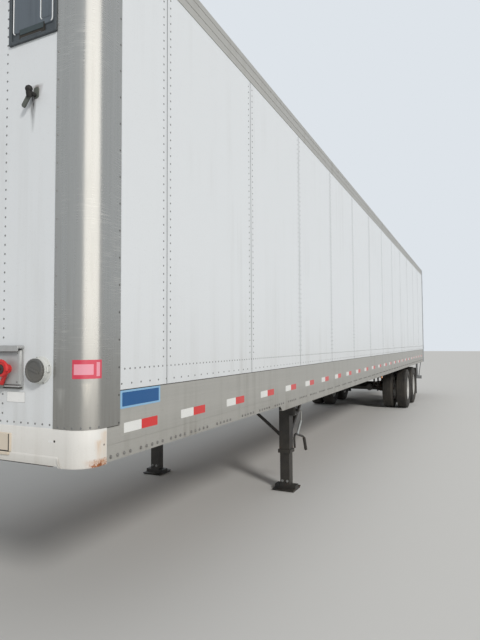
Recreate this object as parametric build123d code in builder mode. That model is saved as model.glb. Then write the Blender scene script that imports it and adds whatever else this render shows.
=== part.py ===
from build123d import *
import os

# A dry van semi trailer, parked on its landing legs and its wheels. Sizes are in millimetres.
# +X is forwards, +Y is the road side, +Z is up. The origin is on the ground, under the middle.

os.makedirs("parts", exist_ok=True)

# The box
body_length = 16154
body_width = 2591
body_height = 4115
front_x = body_length / 2
rear_x = -body_length / 2
half_width = body_width / 2
sides = (("left", 1), ("right", -1))

# The wall plates and the heights of their rails
wall_inset = 4
wall_thick = 12.7
plate_out = half_width - wall_inset
plate_in = plate_out - wall_thick
panel_bottom_z = 1475
top_rail_height = 168
top_rail_bottom_z = body_height - top_rail_height
top_rail_groove_rises = (50, 115)
top_rail_groove = 10
top_rail_groove_depth = 2
plate_top_z = body_height - 13
joint_pitch = 1270
joint_groove = 3
joint_groove_depth = 2
splice_width = 100
splice_thick = 3

# The bottom rails, with a raised stretch over the tractor's wheels
rail_bottom_z = 1065
rail_front_bottom_z = 1115
rail_step_station = 2700
rail_step_run = 60
rail_recess = 5
rail_thick = 5
rail_lip = 30
rail_shelf = 60
rail_flange_thick = 6
rail_lap = 140
rail_groove_z = 1200
rail_groove = 6
rail_groove_depth = 2
rail_web_out = plate_out - rail_recess
rail_web_in = rail_web_out - rail_thick

# The rounded front corners
corner_radius = 125
corner_reach_front = 221
corner_reach_side = 250
liner_thick = 3
liner_gap = 0.3

# The front wall's posts and the front lower rail
wall_post_pitch = 475
wall_post_width = 60
wall_post_depth = 20
plate_back_x = front_x - wall_inset - wall_thick
front_rail_top_z = 1295
front_rail_reach = 145
front_rail_flange = 60

# The floor and its crossmembers
beam_depth = 102
beam_flange = 57
beam_flange_thick = 5
beam_web = 4
beam_pitch = 305
beam_first_station = 1705
beam_bottom_z = 1138
beam_top_z = beam_bottom_z + beam_depth
floor_thick = 35
floor_top_z = beam_top_z + floor_thick
board_width = 305
board_groove = 3
board_groove_depth = 4

# The roof
roof_thick = 2
roof_edge_inset = 10
roof_z = body_height - 4
bow_depth = 40
bow_width = 60
bow_crown = 36
bow_pitch = 610
bow_half = plate_in - wall_inset
ledge_reach = 65.5

# The rear frame
rear_frame_depth = 218
post_width = 60
post_in = half_width - post_width
post_lip = 20
post_lip_thick = 20
header_height = 115
sill_bottom_z = rail_bottom_z
frame_plate = 8
door_gap = 6
centre_gap = 10
door_thick = 32
header_bottom_z = body_height - header_height
door_bottom_z = floor_top_z + door_gap
door_top_z = header_bottom_z - door_gap
door_outer_y = post_in - door_gap
frame_x = rear_x + rear_frame_depth

# The door hinges
fittings_reach = 100
hinge_count = 5
hinge_pin_radius = 10
hinge_pin_x = rear_x - 30
hinge_pin_y = half_width - 10
hinge_knuckle = 70
hinge_lug = 22
hinge_lug_foot = 20
hinge_gap = 0.8
hinge_strap_length = 190
hinge_strap_thick = 8
hinge_pitch = (door_top_z - door_bottom_z) / hinge_count
hinge_heights = [door_bottom_z + hinge_pitch * (place + 0.5) for place in range(hinge_count)]
pin_sides = 8
rod_sides = 6

# The lock rods: (distance from the centre line, which way the handle points, height of the handle)
rods = ((240, 1, 1720), (880, -1, 1480))
rod_radius = 13.5
rod_x = rear_x - 32
rod_overhang = 45
rod_bracket_width = 60
rod_bracket_height = 50
rod_bracket_rises = (250, 900, 1750, 2450)
handle_length = 480
handle_height = 30
catch_inset = 60
catch_width = 40
catch_height = 45
keeper_gap = 7
keeper_thick = 8
keeper_height = 42
keeper_reach = 48

# The rear lamps: (distance from the centre line, height, half width, half height)
lamp_depth = 12
sill_lamp_z = (sill_bottom_z + floor_top_z) / 2
header_lamp_z = body_height - header_height / 2
rear_lamp_places = (
    (720, sill_lamp_z, 54, 54),
    (845, sill_lamp_z, 54, 54),
    (130, header_lamp_z, 60, 20),
    (1120, header_lamp_z, 60, 20),
)
centre_lamp = (0, header_lamp_z, 60, 20)
side_lamp_station = 8200
side_lamp_length = 110
side_lamp_height = 50
side_lamp_depth = 22

# The coupler and its kingpin
coupler_length = 1500
coupler_half_width = 1070
coupler_plate_thick = 9.5
coupler_plate_top_z = rail_front_bottom_z
coupler_plate_bottom_z = coupler_plate_top_z - coupler_plate_thick
coupler_web = 10
coupler_long_places = (120, 500, 900)
coupler_cross_half = 150
coupler_front_x = front_x - front_rail_flange
kingpin_station = 914
kingpin_shoulder_radius = 36.5
kingpin_shoulder = 30
kingpin_neck_radius = 25.4
kingpin_neck = 35
kingpin_collar_radius = 35.7
kingpin_collar = 19

# The landing gear
leg_station = 3800
leg_track_half = 914
leg_outer = 127
leg_wall = 6
leg_slide = 0.3
leg_inner = leg_outer - 2 * leg_wall - 2 * leg_slide
leg_outer_bottom_z = 430
leg_inner_top_z = 900
leg_collar = 12
leg_collar_height = 40
leg_mount_length = 720
leg_mount_width = 150
leg_mount_depth = 60
shoe_length = 280
shoe_width = 254
shoe_thick = 12
shoe_riser = 60
brace_width = 50
brace_thick = 10
brace_run = 700
brace_rise = 150
shaft_radius = 16
shaft_z = 985
gearbox_width = 70
gearbox_length = 120
gearbox_above = 80
gearbox_below = 120
crank_drop = 60
crank_rise = 300
crank_radius = 10
crank_reach = 160

# The tyres, rims and hubs
# A tyre and its rim have flat facets round them, so that eight of them stay light.
axle_station = 12100
axle_spacing = 1245
wheel_radius = 505
wheel_facets = 28
facet_turn = 180 / wheel_facets
tyre_half_width = 136
tread_half_width = 108
shoulder_radius = 462
bead_radius = 283.3
twin_spacing = 343
twin_centre_y = 984
twin_outer_y = twin_centre_y + twin_spacing / 2
twin_inner_y = twin_centre_y - twin_spacing / 2
rim_radius = 283
rim_bore = 262
rim_half_width = 105.5
disc_half = 18
hand_hole_radius = 25
hand_hole_circle = 233
hand_hole_count = 5
hand_hole_sides = 6
hub_radius = 85
hub_sides = 12
hub_end_y = 1165
drum_radius = 215
drum_sides = 14
drum_start_y = 775
spindle_radius = 45
spindle_gap = 0.7
spindle_end_y = 1120
axle_radius = 63.5
axle_tube_end_y = 768
shield_radius = 205
shield_thick = 10
shield_sides = 12
tube_facets = 16
axle_places = (("front", front_x - axle_station), ("rear", front_x - axle_station - axle_spacing))

# The sliding tandem: the body's rails, then the slider under them
spring_y = 540
body_rail_width = 90
body_rail_depth = 120
body_rail_front_station = 9650
slide_gap = 5
slide_pad_gap = 0.3
slide_pad_length = 120
slide_pad_width = 60
slide_pad_inset = 100
slider_rail_width = 90
slider_rail_depth = 98
slider_front = 850
slider_rear = 950
slider_cross_width = 80
slider_cross_drop = 10
slider_end_inset = 60
slider_top_z = beam_bottom_z - body_rail_depth - slide_gap
slider_bottom_z = slider_top_z - slider_rail_depth
slider_front_x = axle_places[0][1] + slider_front
slider_rear_x = axle_places[1][1] - slider_rear

# The springs, with their hangers, equalizers and torque arms
hanger_width = 100
hanger_length = 130
hanger_plate = 8
hanger_overlap = 45
hanger_drop = 90
spring_width = 76
spring_radius = 3600
leaf_thick = 16
leaf_spans = (533, 400, 260)
seat_height = 20
seat_length = 180
seat_gap = 0.3
equalizer_half = 170
equalizer_waist = 80
equalizer_drop = 40
equalizer_rise = 80
equalizer_end = 25
equalizer_width = 60
pivot_radius = 20
pivot_half = hanger_width / 2 - hanger_plate / 2 - seat_gap
arm_depth = 36
arm_width = 50
arm_pivot_drop = 64
arm_seat_drop = 45
spring_bottom_z = wheel_radius + axle_radius + seat_height
spring_end_z = spring_bottom_z + 3 * leaf_thick + leaf_spans[0] ** 2 / (2 * spring_radius)
equalizer_x = (axle_places[0][1] + axle_places[1][1]) / 2
hanger_places = (
    axle_places[0][1] + leaf_spans[0] - hanger_overlap,
    equalizer_x,
    axle_places[1][1] - leaf_spans[0] + hanger_overlap,
)

# The brake chambers, the air tank and the mud flaps
chamber_radius = 82
chamber_sides = 16
chamber_length = 150
chamber_reach = 110
chamber_y = 330
chamber_rise = 20
chamber_bracket = 80
tank_radius = 120
tank_length = 700
tank_drop = 8
tank_beam = 24
tank_x = front_x - beam_first_station - tank_beam * beam_pitch
tank_sides = 20
saddle_y = 250
saddle_width = 40
saddle_half_length = 40
saddle_depth = 40
flap_width = 610
flap_height = 760
flap_thick = 10
flap_back = 160
flap_bar = 40
flap_inset = 15
flap_x = axle_places[1][1] - wheel_radius - flap_back

# The underride guard and the dock bumpers
guard_bar = 100
guard_bottom_z = 500
guard_half_length = 1220
guard_post_y = 560
guard_post_width = 80
guard_brace_rise = 90
guard_brace_reach = 70
guard_brace_width = 50
guard_x = rear_x + 40
bumper_width = 260
bumper_height = 120
bumper_y = 1120

# The fittings on the front wall
plate_front_x = front_x - wall_inset
air_box_low_y = 200
air_box_high_y = 860
air_box_z = 1595
air_box_height = 210
air_box_depth = 45
coupling_places = (320, 740)
coupling_radius = 30
coupling_reach = 32
socket_y = 530
socket_size = 80
socket_reach = 26
tube_y = 985
tube_z = 1560
tube_radius = 80
tube_sides = 24
vent_y = 902
vent_width = 345
vent_drop = 608
vent_height = 420
vent_depth = 14
vent_border = 24
vent_recess = 8
vent_rib_pitch = 90
vent_rib_width = 22
vent_rib_length = 300
vent_rib_rise = 7
vent_bottom_z = top_rail_bottom_z - vent_drop
hook_y = 915
hook_drop = 877
hook_z = top_rail_bottom_z - hook_drop
hook_radius = 16
hook_length = 60

joint_stations = []
place = body_length - rear_frame_depth - joint_pitch
while place > corner_reach_side + splice_width:
    joint_stations.append(place)
    place -= joint_pitch


def at(station):
    """X of a place that is measured rearwards from the front face."""
    return front_x - station


def block(x0, x1, y0, y1, z0, z1, mode=Mode.ADD):
    """A square-edged plate or bar between two corners."""
    with Locations(((x0 + x1) / 2, (y0 + y1) / 2, (z0 + z1) / 2)):
        Box(abs(x1 - x0), abs(y1 - y0), abs(z1 - z0), mode=mode)


def outline(points):
    """A flat face inside a closed run of straight lines."""
    Polygon(*points, align=None)


def corner_strip(inset, thick, reach_front, reach_side):
    """A face that follows the rounded road-side front corner, seen from above."""
    centre_x = front_x - corner_radius
    centre_y = half_width - corner_radius
    outer = corner_radius - inset
    inner = outer - thick
    front_end = half_width - reach_front
    side_end = front_x - reach_side
    with BuildLine() as edge:
        Line((centre_x + outer, front_end), (centre_x + outer, centre_y))
        CenterArc((centre_x, centre_y), outer, 0, 90)
        Line((centre_x, centre_y + outer), (side_end, centre_y + outer))
        Line((side_end, centre_y + outer), (side_end, centre_y + inner))
        Line((side_end, centre_y + inner), (centre_x, centre_y + inner))
        CenterArc((centre_x, centre_y), inner, 0, 90)
        Line((centre_x + inner, centre_y), (centre_x + inner, front_end))
        Line((centre_x + inner, front_end), (centre_x + outer, front_end))
    make_face(edge.edges())


def top_rail_section():
    """The top rail's section as (inset from the outer face, height)."""
    inner = wall_inset + wall_thick
    shelf_z = roof_z - bow_depth
    face = [(0, top_rail_bottom_z)]
    for rise in top_rail_groove_rises:
        low_z = top_rail_bottom_z + rise
        face.append((0, low_z))
        face.append((top_rail_groove_depth, low_z))
        face.append((top_rail_groove_depth, low_z + top_rail_groove))
        face.append((0, low_z + top_rail_groove))
    return face + [
        (0, body_height),
        (roof_edge_inset, body_height),
        (roof_edge_inset, roof_z),
        (inner + wall_inset, roof_z),
        (inner + wall_inset, shelf_z),
        (ledge_reach, shelf_z),
        (ledge_reach, shelf_z - wall_inset),
        (inner + wall_inset, shelf_z - wall_inset),
        (inner + wall_inset, top_rail_bottom_z + splice_thick),
        (inner, top_rail_bottom_z + splice_thick),
        (inner, plate_top_z),
        (wall_inset, plate_top_z),
        (wall_inset, top_rail_bottom_z),
    ]


def bottom_rail_section(low_z):
    """The bottom rail's section as (distance from the centre line, height)."""
    lap_in = plate_in - rail_thick
    groove_low = rail_groove_z - rail_groove / 2
    groove_high = rail_groove_z + rail_groove / 2
    return [
        (rail_web_out, low_z),
        (rail_web_out, groove_low),
        (rail_web_out - rail_groove_depth, groove_low),
        (rail_web_out - rail_groove_depth, groove_high),
        (rail_web_out, groove_high),
        (rail_web_out, panel_bottom_z),
        (plate_in, panel_bottom_z),
        (plate_in, panel_bottom_z + rail_lap),
        (lap_in, panel_bottom_z + rail_lap),
        (lap_in, panel_bottom_z - rail_flange_thick),
        (rail_web_in, panel_bottom_z - rail_flange_thick),
        (rail_web_in, beam_bottom_z),
        (rail_web_in - rail_shelf, beam_bottom_z),
        (rail_web_in - rail_shelf, beam_bottom_z - rail_flange_thick),
        (rail_web_in, beam_bottom_z - rail_flange_thick),
        (rail_web_in, low_z + rail_flange_thick),
        (rail_web_in - rail_lip, low_z + rail_flange_thick),
        (rail_web_in - rail_lip, low_z),
    ]


# Side walls: plates with a grooved joint and a strip behind it
for side, sign in sides:
    with BuildPart() as side_wall:
        block(
            frame_x, at(corner_radius + liner_thick), sign * plate_in, sign * plate_out,
            panel_bottom_z, plate_top_z,
        )
        for joint in joint_stations:
            block(
                at(joint) - splice_width / 2, at(joint) + splice_width / 2,
                sign * (plate_in - splice_thick), sign * plate_in,
                panel_bottom_z + rail_lap, top_rail_bottom_z,
            )
            block(
                at(joint) - joint_groove / 2, at(joint) + joint_groove / 2,
                sign * (plate_out - joint_groove_depth), sign * plate_out,
                panel_bottom_z, plate_top_z, mode=Mode.SUBTRACT,
            )
    side_wall.part.label = f"side_wall_{side}"
    export_step(side_wall.part, f"parts/side_wall_{side}.step")

# Front wall: one plate with four upright posts inside it
with BuildPart() as front_wall:
    front_plate_half = half_width - corner_radius - liner_thick
    block(
        plate_back_x, plate_front_x, -front_plate_half, front_plate_half,
        rail_front_bottom_z + rail_flange_thick, plate_top_z,
    )
    for place in (-1.5, -0.5, 0.5, 1.5):
        post_y = place * wall_post_pitch
        block(
            plate_back_x - wall_post_depth, plate_back_x,
            post_y - wall_post_width / 2, post_y + wall_post_width / 2,
            floor_top_z, top_rail_bottom_z,
        )
front_wall.part.label = "front_wall"
export_step(front_wall.part, "parts/front_wall.step")

# Front corners: a big-radius outer skin, and a liner inside the load space
with BuildPart() as front_corners:
    with BuildSketch(Plane.XY.offset(front_rail_top_z)):
        corner_strip(0, wall_inset, corner_reach_front, corner_reach_side)
    extrude(amount=top_rail_bottom_z - front_rail_top_z)
    with BuildSketch(Plane.XY.offset(panel_bottom_z + rail_lap)):
        corner_strip(wall_inset + wall_thick + liner_gap, liner_thick, corner_reach_front, corner_reach_side)
    extrude(amount=top_rail_bottom_z - panel_bottom_z - rail_lap)
    mirror(about=Plane.XZ)
front_corners.part.label = "front_corners"
export_step(front_corners.part, "parts/front_corners.step")

# Top rails along both sides
with BuildPart() as top_rails:
    for side, sign in sides:
        with BuildSketch(Plane.YZ.offset(frame_x)):
            outline([(sign * (half_width - inset), z) for inset, z in top_rail_section()])
        extrude(amount=front_x - corner_radius - frame_x)
top_rails.part.label = "top_rails"
export_step(top_rails.part, "parts/top_rails.step")

# Front top rail: the same section across the front and round both corners
with BuildPart() as front_top_rail:
    corner_y = half_width - corner_radius
    with BuildSketch(Plane.XZ.offset(-corner_y)):
        outline([(front_x - inset, z) for inset, z in top_rail_section()])
    extrude(amount=2 * corner_y)
    with BuildSketch(Plane.YZ.offset(front_x - corner_radius)):
        outline([(half_width - inset, z) for inset, z in top_rail_section()])
    revolve(axis=Axis((front_x - corner_radius, corner_y, 0), (0, 0, -1)), revolution_arc=90)
    mirror(about=Plane.XZ)
front_top_rail.part.label = "front_top_rail"
export_step(front_top_rail.part, "parts/front_top_rail.step")

# Bottom rails, with the raised stretch at the front and a slanted step down from it
with BuildPart() as bottom_rails:
    for side, sign in sides:
        with BuildSketch(Plane.YZ.offset(frame_x)):
            outline([(sign * y, z) for y, z in bottom_rail_section(rail_bottom_z)])
        extrude(amount=at(rail_step_station) - frame_x)
        with BuildSketch(Plane.YZ.offset(at(rail_step_station))):
            outline([(sign * y, z) for y, z in bottom_rail_section(rail_front_bottom_z)])
        extrude(amount=rail_step_station - front_rail_reach)
        web_high_y = max(sign * rail_web_out, sign * rail_web_in)
        with BuildSketch(Plane.XZ.offset(-web_high_y)):
            outline([
                (at(rail_step_station), rail_bottom_z),
                (at(rail_step_station - rail_step_run), rail_front_bottom_z),
                (at(rail_step_station), rail_front_bottom_z),
            ])
        extrude(amount=rail_thick)
bottom_rails.part.label = "bottom_rails"
export_step(bottom_rails.part, "parts/bottom_rails.step")

# Front lower rail: a steel angle across the front, wrapped round both corners
with BuildPart() as front_lower_rail:
    with BuildSketch(Plane.XY.offset(rail_front_bottom_z)):
        corner_strip(0, wall_inset, half_width, front_rail_reach)
    extrude(amount=front_rail_top_z - rail_front_bottom_z)
    with BuildSketch(Plane.XY.offset(rail_front_bottom_z)):
        corner_strip(0, front_rail_flange, half_width, front_rail_reach)
    extrude(amount=rail_flange_thick)
    mirror(about=Plane.XZ)
front_lower_rail.part.label = "front_lower_rail"
export_step(front_lower_rail.part, "parts/front_lower_rail.step")

# Roof sheet and its bows
with BuildPart() as roof:
    roof_half = half_width - roof_edge_inset
    block(frame_x, front_x - roof_edge_inset, -roof_half, roof_half, roof_z, roof_z + roof_thick)
    fillet(roof.edges().filter_by(Axis.Z).group_by(Axis.X)[-1], corner_radius - roof_edge_inset)
roof.part.label = "roof"
export_step(roof.part, "parts/roof.step")

bow_count = int((body_length - rear_frame_depth - corner_radius) / bow_pitch)
with BuildPart() as roof_bows:
    with BuildSketch(Plane.XZ.offset(-bow_half)):
        with Locations(*[(frame_x + bow_pitch * (place + 0.5), roof_z) for place in range(bow_count)]):
            outline([
                (-bow_width / 2, 0),
                (bow_width / 2, 0),
                (bow_crown / 2, -bow_depth),
                (-bow_crown / 2, -bow_depth),
            ])
    extrude(amount=2 * bow_half)
roof_bows.part.label = "roof_bows"
export_step(roof_bows.part, "parts/roof_bows.step")

# Floor: boards side by side, drawn as one deck with a groove at each joint
with BuildPart() as floor:
    block(frame_x, plate_back_x, -rail_web_in, rail_web_in, beam_top_z, floor_top_z)
    floor_corner = corner_radius - wall_inset - wall_thick
    fillet(floor.edges().filter_by(Axis.Z).group_by(Axis.X)[-1], floor_corner)
    for place in range(-3, 4):
        board_y = place * board_width
        block(
            frame_x, plate_back_x, board_y - board_groove / 2, board_y + board_groove / 2,
            floor_top_z - board_groove_depth, floor_top_z, mode=Mode.SUBTRACT,
        )
floor.part.label = "floor"
export_step(floor.part, "parts/floor.step")

# Crossmembers: rolled steel I-beams from rail to rail
beam_count = int((body_length - rear_frame_depth - beam_first_station - beam_flange) / beam_pitch) + 1
beam_places = [at(beam_first_station + place * beam_pitch) for place in range(beam_count)]
with BuildPart() as crossmembers:
    with BuildSketch(Plane.XZ.offset(-rail_web_in)):
        with Locations(*[(beam_x, beam_bottom_z) for beam_x in beam_places]):
            wide = beam_flange / 2
            web = beam_web / 2
            neck = beam_depth - beam_flange_thick
            outline([
                (-wide, 0),
                (wide, 0),
                (wide, beam_flange_thick),
                (web, beam_flange_thick),
                (web, neck),
                (wide, neck),
                (wide, beam_depth),
                (-wide, beam_depth),
                (-wide, neck),
                (-web, neck),
                (-web, beam_flange_thick),
                (-wide, beam_flange_thick),
            ])
    extrude(amount=2 * rail_web_in)
crossmembers.part.label = "crossmembers"
export_step(crossmembers.part, "parts/crossmembers.step")

# Coupler: the bearing plate with the welded frame over it, and the kingpin's shoulder, neck and collar
with BuildPart() as coupler:
    block(
        at(coupler_length), plate_front_x, -coupler_half_width, coupler_half_width,
        coupler_plate_bottom_z, coupler_plate_top_z,
    )
    cross_places = (
        coupler_front_x - coupler_web,
        at(kingpin_station) + coupler_cross_half,
        at(kingpin_station) - coupler_cross_half,
        at(coupler_length),
    )
    for cross_x in cross_places:
        block(
            cross_x, cross_x + coupler_web, -coupler_half_width, coupler_half_width,
            coupler_plate_top_z, beam_top_z,
        )
    for distance in coupler_long_places:
        for long_y in (-distance, distance):
            block(
                at(coupler_length), coupler_front_x, long_y - coupler_web / 2, long_y + coupler_web / 2,
                coupler_plate_top_z, beam_top_z,
            )
    shoulder_z = coupler_plate_bottom_z - kingpin_shoulder
    neck_z = shoulder_z - kingpin_neck
    collar_z = neck_z - kingpin_collar
    with BuildSketch(Plane.XZ):
        with Locations((at(kingpin_station), 0)):
            outline([
                (0, coupler_plate_top_z),
                (kingpin_shoulder_radius, coupler_plate_top_z),
                (kingpin_shoulder_radius, shoulder_z),
                (kingpin_neck_radius, shoulder_z),
                (kingpin_neck_radius, neck_z),
                (kingpin_collar_radius, neck_z),
                (kingpin_collar_radius, collar_z),
                (0, collar_z),
            ])
    revolve(axis=Axis((at(kingpin_station), 0, 0), (0, 0, 1)))
coupler.part.label = "coupler"
export_step(coupler.part, "parts/coupler.step")

# Rear frame: two posts with a door stop, a header and a sill
with BuildPart() as rear_posts:
    for side, sign in sides:
        stop_x = rear_x + door_thick + door_gap
        post_bevel = half_width - hinge_pin_y
        with BuildSketch(Plane.XY.offset(sill_bottom_z)):
            outline([
                (rear_x, sign * post_in),
                (rear_x, sign * hinge_pin_y),
                (rear_x + post_bevel, sign * half_width),
                (frame_x, sign * half_width),
                (frame_x, sign * post_in),
            ])
        extrude(amount=body_height - sill_bottom_z)
        block(
            stop_x, stop_x + post_lip_thick, sign * (post_in - post_lip), sign * post_in,
            floor_top_z, header_bottom_z,
        )
rear_posts.part.label = "rear_posts"
export_step(rear_posts.part, "parts/rear_posts.step")

with BuildPart() as rear_header:
    block(rear_x, frame_x, -post_in, post_in, header_bottom_z, body_height)
rear_header.part.label = "rear_header"
export_step(rear_header.part, "parts/rear_header.step")

with BuildPart() as rear_sill:
    with BuildSketch(Plane.XZ.offset(-post_in)):
        outline([
            (rear_x, sill_bottom_z),
            (rear_x, floor_top_z),
            (frame_x, floor_top_z),
            (frame_x, beam_bottom_z),
            (frame_x - frame_plate, beam_bottom_z),
            (frame_x - frame_plate, floor_top_z - frame_plate),
            (rear_x + frame_plate, floor_top_z - frame_plate),
            (rear_x + frame_plate, sill_bottom_z + frame_plate),
            (rear_x + rail_shelf, sill_bottom_z + frame_plate),
            (rear_x + rail_shelf, sill_bottom_z),
        ])
    extrude(amount=2 * post_in)
rear_sill.part.label = "rear_sill"
export_step(rear_sill.part, "parts/rear_sill.step")

# Doors, with their hinge straps and lock rods
for side, sign in sides:
    with BuildPart() as door:
        block(
            rear_x, rear_x + door_thick, sign * centre_gap / 2, sign * door_outer_y,
            door_bottom_z, door_top_z,
        )
    door.part.label = f"door_{side}"
    export_step(door.part, f"parts/door_{side}.step")

    with BuildPart() as door_gear:
        strap_end = door_outer_y - hinge_strap_length
        strap_back = rear_x - hinge_strap_thick
        for height in hinge_heights:
            with BuildSketch(Plane.XY.offset(height - hinge_knuckle / 2)):
                outline([
                    (rear_x, sign * strap_end),
                    (rear_x, sign * door_outer_y),
                    (hinge_pin_x + hinge_pin_radius, sign * hinge_pin_y),
                    (hinge_pin_x, sign * (hinge_pin_y - hinge_pin_radius)),
                    (strap_back, sign * (door_outer_y - hinge_strap_thick)),
                    (strap_back, sign * strap_end),
                ])
                with Locations((hinge_pin_x, sign * hinge_pin_y)):
                    RegularPolygon(hinge_pin_radius, pin_sides)
            extrude(amount=hinge_knuckle)
        for rod_y, way, handle_z in rods:
            with BuildSketch(Plane.XY.offset(floor_top_z - rod_overhang)):
                with Locations((rod_x, sign * rod_y)):
                    RegularPolygon(rod_radius, rod_sides)
            extrude(amount=header_bottom_z - floor_top_z + 2 * rod_overhang)
            for rise in rod_bracket_rises:
                block(
                    rod_x, rear_x, sign * rod_y - rod_bracket_width / 2, sign * rod_y + rod_bracket_width / 2,
                    door_bottom_z + rise, door_bottom_z + rise + rod_bracket_height,
                )
            handle_low_z = handle_z - handle_height / 2
            catch_y = rod_y + way * (handle_length - catch_inset)
            block(
                rod_x - rod_radius, rod_x, sign * rod_y, sign * (rod_y + way * handle_length),
                handle_low_z, handle_low_z + handle_height,
            )
            block(
                rod_x, rear_x, sign * (catch_y - catch_width / 2), sign * (catch_y + catch_width / 2),
                handle_low_z + handle_height - catch_height, handle_low_z + handle_height,
            )
    door_gear.part.label = f"door_gear_{side}"
    export_step(door_gear.part, f"parts/door_gear_{side}.step")

# Hinge lugs on the posts
with BuildPart() as hinge_lugs:
    lug_offset = hinge_knuckle / 2 + hinge_gap
    for side, sign in sides:
        lug_heights = [height + lug_offset for height in hinge_heights]
        lug_heights += [height - lug_offset - hinge_lug for height in hinge_heights]
        with BuildSketch(*[Plane.XY.offset(height) for height in lug_heights]):
            outline([
                (rear_x, sign * (hinge_pin_y - hinge_pin_radius - hinge_lug_foot)),
                (hinge_pin_x, sign * (hinge_pin_y - hinge_pin_radius)),
                (hinge_pin_x - hinge_pin_radius, sign * hinge_pin_y),
                (hinge_pin_x, sign * (hinge_pin_y + hinge_pin_radius)),
                (rear_x, sign * hinge_pin_y),
            ])
        extrude(amount=hinge_lug)
hinge_lugs.part.label = "hinge_lugs"
export_step(hinge_lugs.part, "parts/hinge_lugs.step")

# Keepers: two ears at each end of each lock rod, on the header and on the sill
with BuildPart() as rod_keepers:
    for side, sign in sides:
        for rod_y, way, handle_z in rods:
            for ear in (-1, 1):
                ear_in = rod_y + ear * (rod_radius + keeper_gap)
                ear_out = ear_in + ear * keeper_thick
                for low_z in (floor_top_z - door_gap - keeper_height, header_bottom_z + door_gap):
                    block(
                        rear_x - keeper_reach, rear_x, sign * ear_in, sign * ear_out,
                        low_z, low_z + keeper_height,
                    )
rod_keepers.part.label = "rod_keepers"
export_step(rod_keepers.part, "parts/rod_keepers.step")

# Rear lamps, eight-sided in the solid, and a side lamp under each bottom rail
with BuildPart() as lamps:
    lamp_places = [centre_lamp]
    for lamp_y, lamp_z, half_wide, half_high in rear_lamp_places:
        lamp_places.append((lamp_y, lamp_z, half_wide, half_high))
        lamp_places.append((-lamp_y, lamp_z, half_wide, half_high))
    with BuildSketch(Plane.YZ.offset(rear_x - lamp_depth)):
        for lamp_y, lamp_z, half_wide, half_high in lamp_places:
            cut = half_high * (2 - 2 ** 0.5)
            outline([
                (lamp_y - half_wide, lamp_z - half_high + cut),
                (lamp_y - half_wide + cut, lamp_z - half_high),
                (lamp_y + half_wide - cut, lamp_z - half_high),
                (lamp_y + half_wide, lamp_z - half_high + cut),
                (lamp_y + half_wide, lamp_z + half_high - cut),
                (lamp_y + half_wide - cut, lamp_z + half_high),
                (lamp_y - half_wide + cut, lamp_z + half_high),
                (lamp_y - half_wide, lamp_z + half_high - cut),
            ])
    extrude(amount=lamp_depth)
    for side, sign in sides:
        block(
            at(side_lamp_station) - side_lamp_length / 2, at(side_lamp_station) + side_lamp_length / 2,
            sign * (rail_web_out - side_lamp_depth), sign * rail_web_out,
            rail_bottom_z - side_lamp_height, rail_bottom_z,
        )
lamps.part.label = "lamps"
export_step(lamps.part, "parts/lamps.step")

# Underride guard: a bar on two posts under the sill, each post braced to a body rail
with BuildPart() as underride_guard:
    block(
        guard_x, guard_x + guard_bar, -guard_half_length, guard_half_length,
        guard_bottom_z, guard_bottom_z + guard_bar,
    )
    body_rail_bottom_z = beam_bottom_z - body_rail_depth
    for side, sign in sides:
        block(
            guard_x, guard_x + guard_bar, sign * (guard_post_y - guard_post_width / 2),
            sign * (guard_post_y + guard_post_width / 2), guard_bottom_z + guard_bar, sill_bottom_z,
        )
        with BuildSketch(Plane.XZ.offset(-(sign * guard_post_y + guard_brace_width / 2))):
            outline([
                (guard_x + guard_bar, guard_bottom_z + guard_bar),
                (guard_x + guard_bar, guard_bottom_z + guard_bar + guard_brace_rise),
                (frame_x, body_rail_bottom_z),
                (frame_x + guard_brace_reach, body_rail_bottom_z),
            ])
        extrude(amount=guard_brace_width)
underride_guard.part.label = "underride_guard"
export_step(underride_guard.part, "parts/underride_guard.step")

# Dock bumpers
with BuildPart() as dock_bumpers:
    for side, sign in sides:
        block(
            rear_x - fittings_reach, rear_x, sign * (bumper_y - bumper_width / 2),
            sign * (bumper_y + bumper_width / 2), sill_bottom_z, sill_bottom_z + bumper_height,
        )
dock_bumpers.part.label = "dock_bumpers"
export_step(dock_bumpers.part, "parts/dock_bumpers.step")

# Landing gear: outer legs on their mounts, inner legs on sand shoes, braces and the drive
leg_x = at(leg_station)
leg_half = leg_outer / 2
collar_half = leg_half + leg_collar
bore = leg_half - leg_wall
with BuildPart() as landing_legs:
    for side, sign in sides:
        leg_y = sign * leg_track_half
        block(
            leg_x - leg_half, leg_x + leg_half, leg_y - leg_half, leg_y + leg_half,
            leg_outer_bottom_z, beam_bottom_z - leg_mount_depth,
        )
        block(
            leg_x - collar_half, leg_x + collar_half, leg_y - collar_half, leg_y + collar_half,
            leg_outer_bottom_z, leg_outer_bottom_z + leg_collar_height,
        )
        block(
            leg_x - leg_mount_length / 2, leg_x + leg_mount_length / 2,
            leg_y - leg_mount_width / 2, leg_y + leg_mount_width / 2,
            beam_bottom_z - leg_mount_depth, beam_bottom_z,
        )
        block(
            leg_x - bore, leg_x + bore, leg_y - bore, leg_y + bore,
            leg_outer_bottom_z, leg_inner_top_z, mode=Mode.SUBTRACT,
        )
landing_legs.part.label = "landing_legs"
export_step(landing_legs.part, "parts/landing_legs.step")

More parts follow.
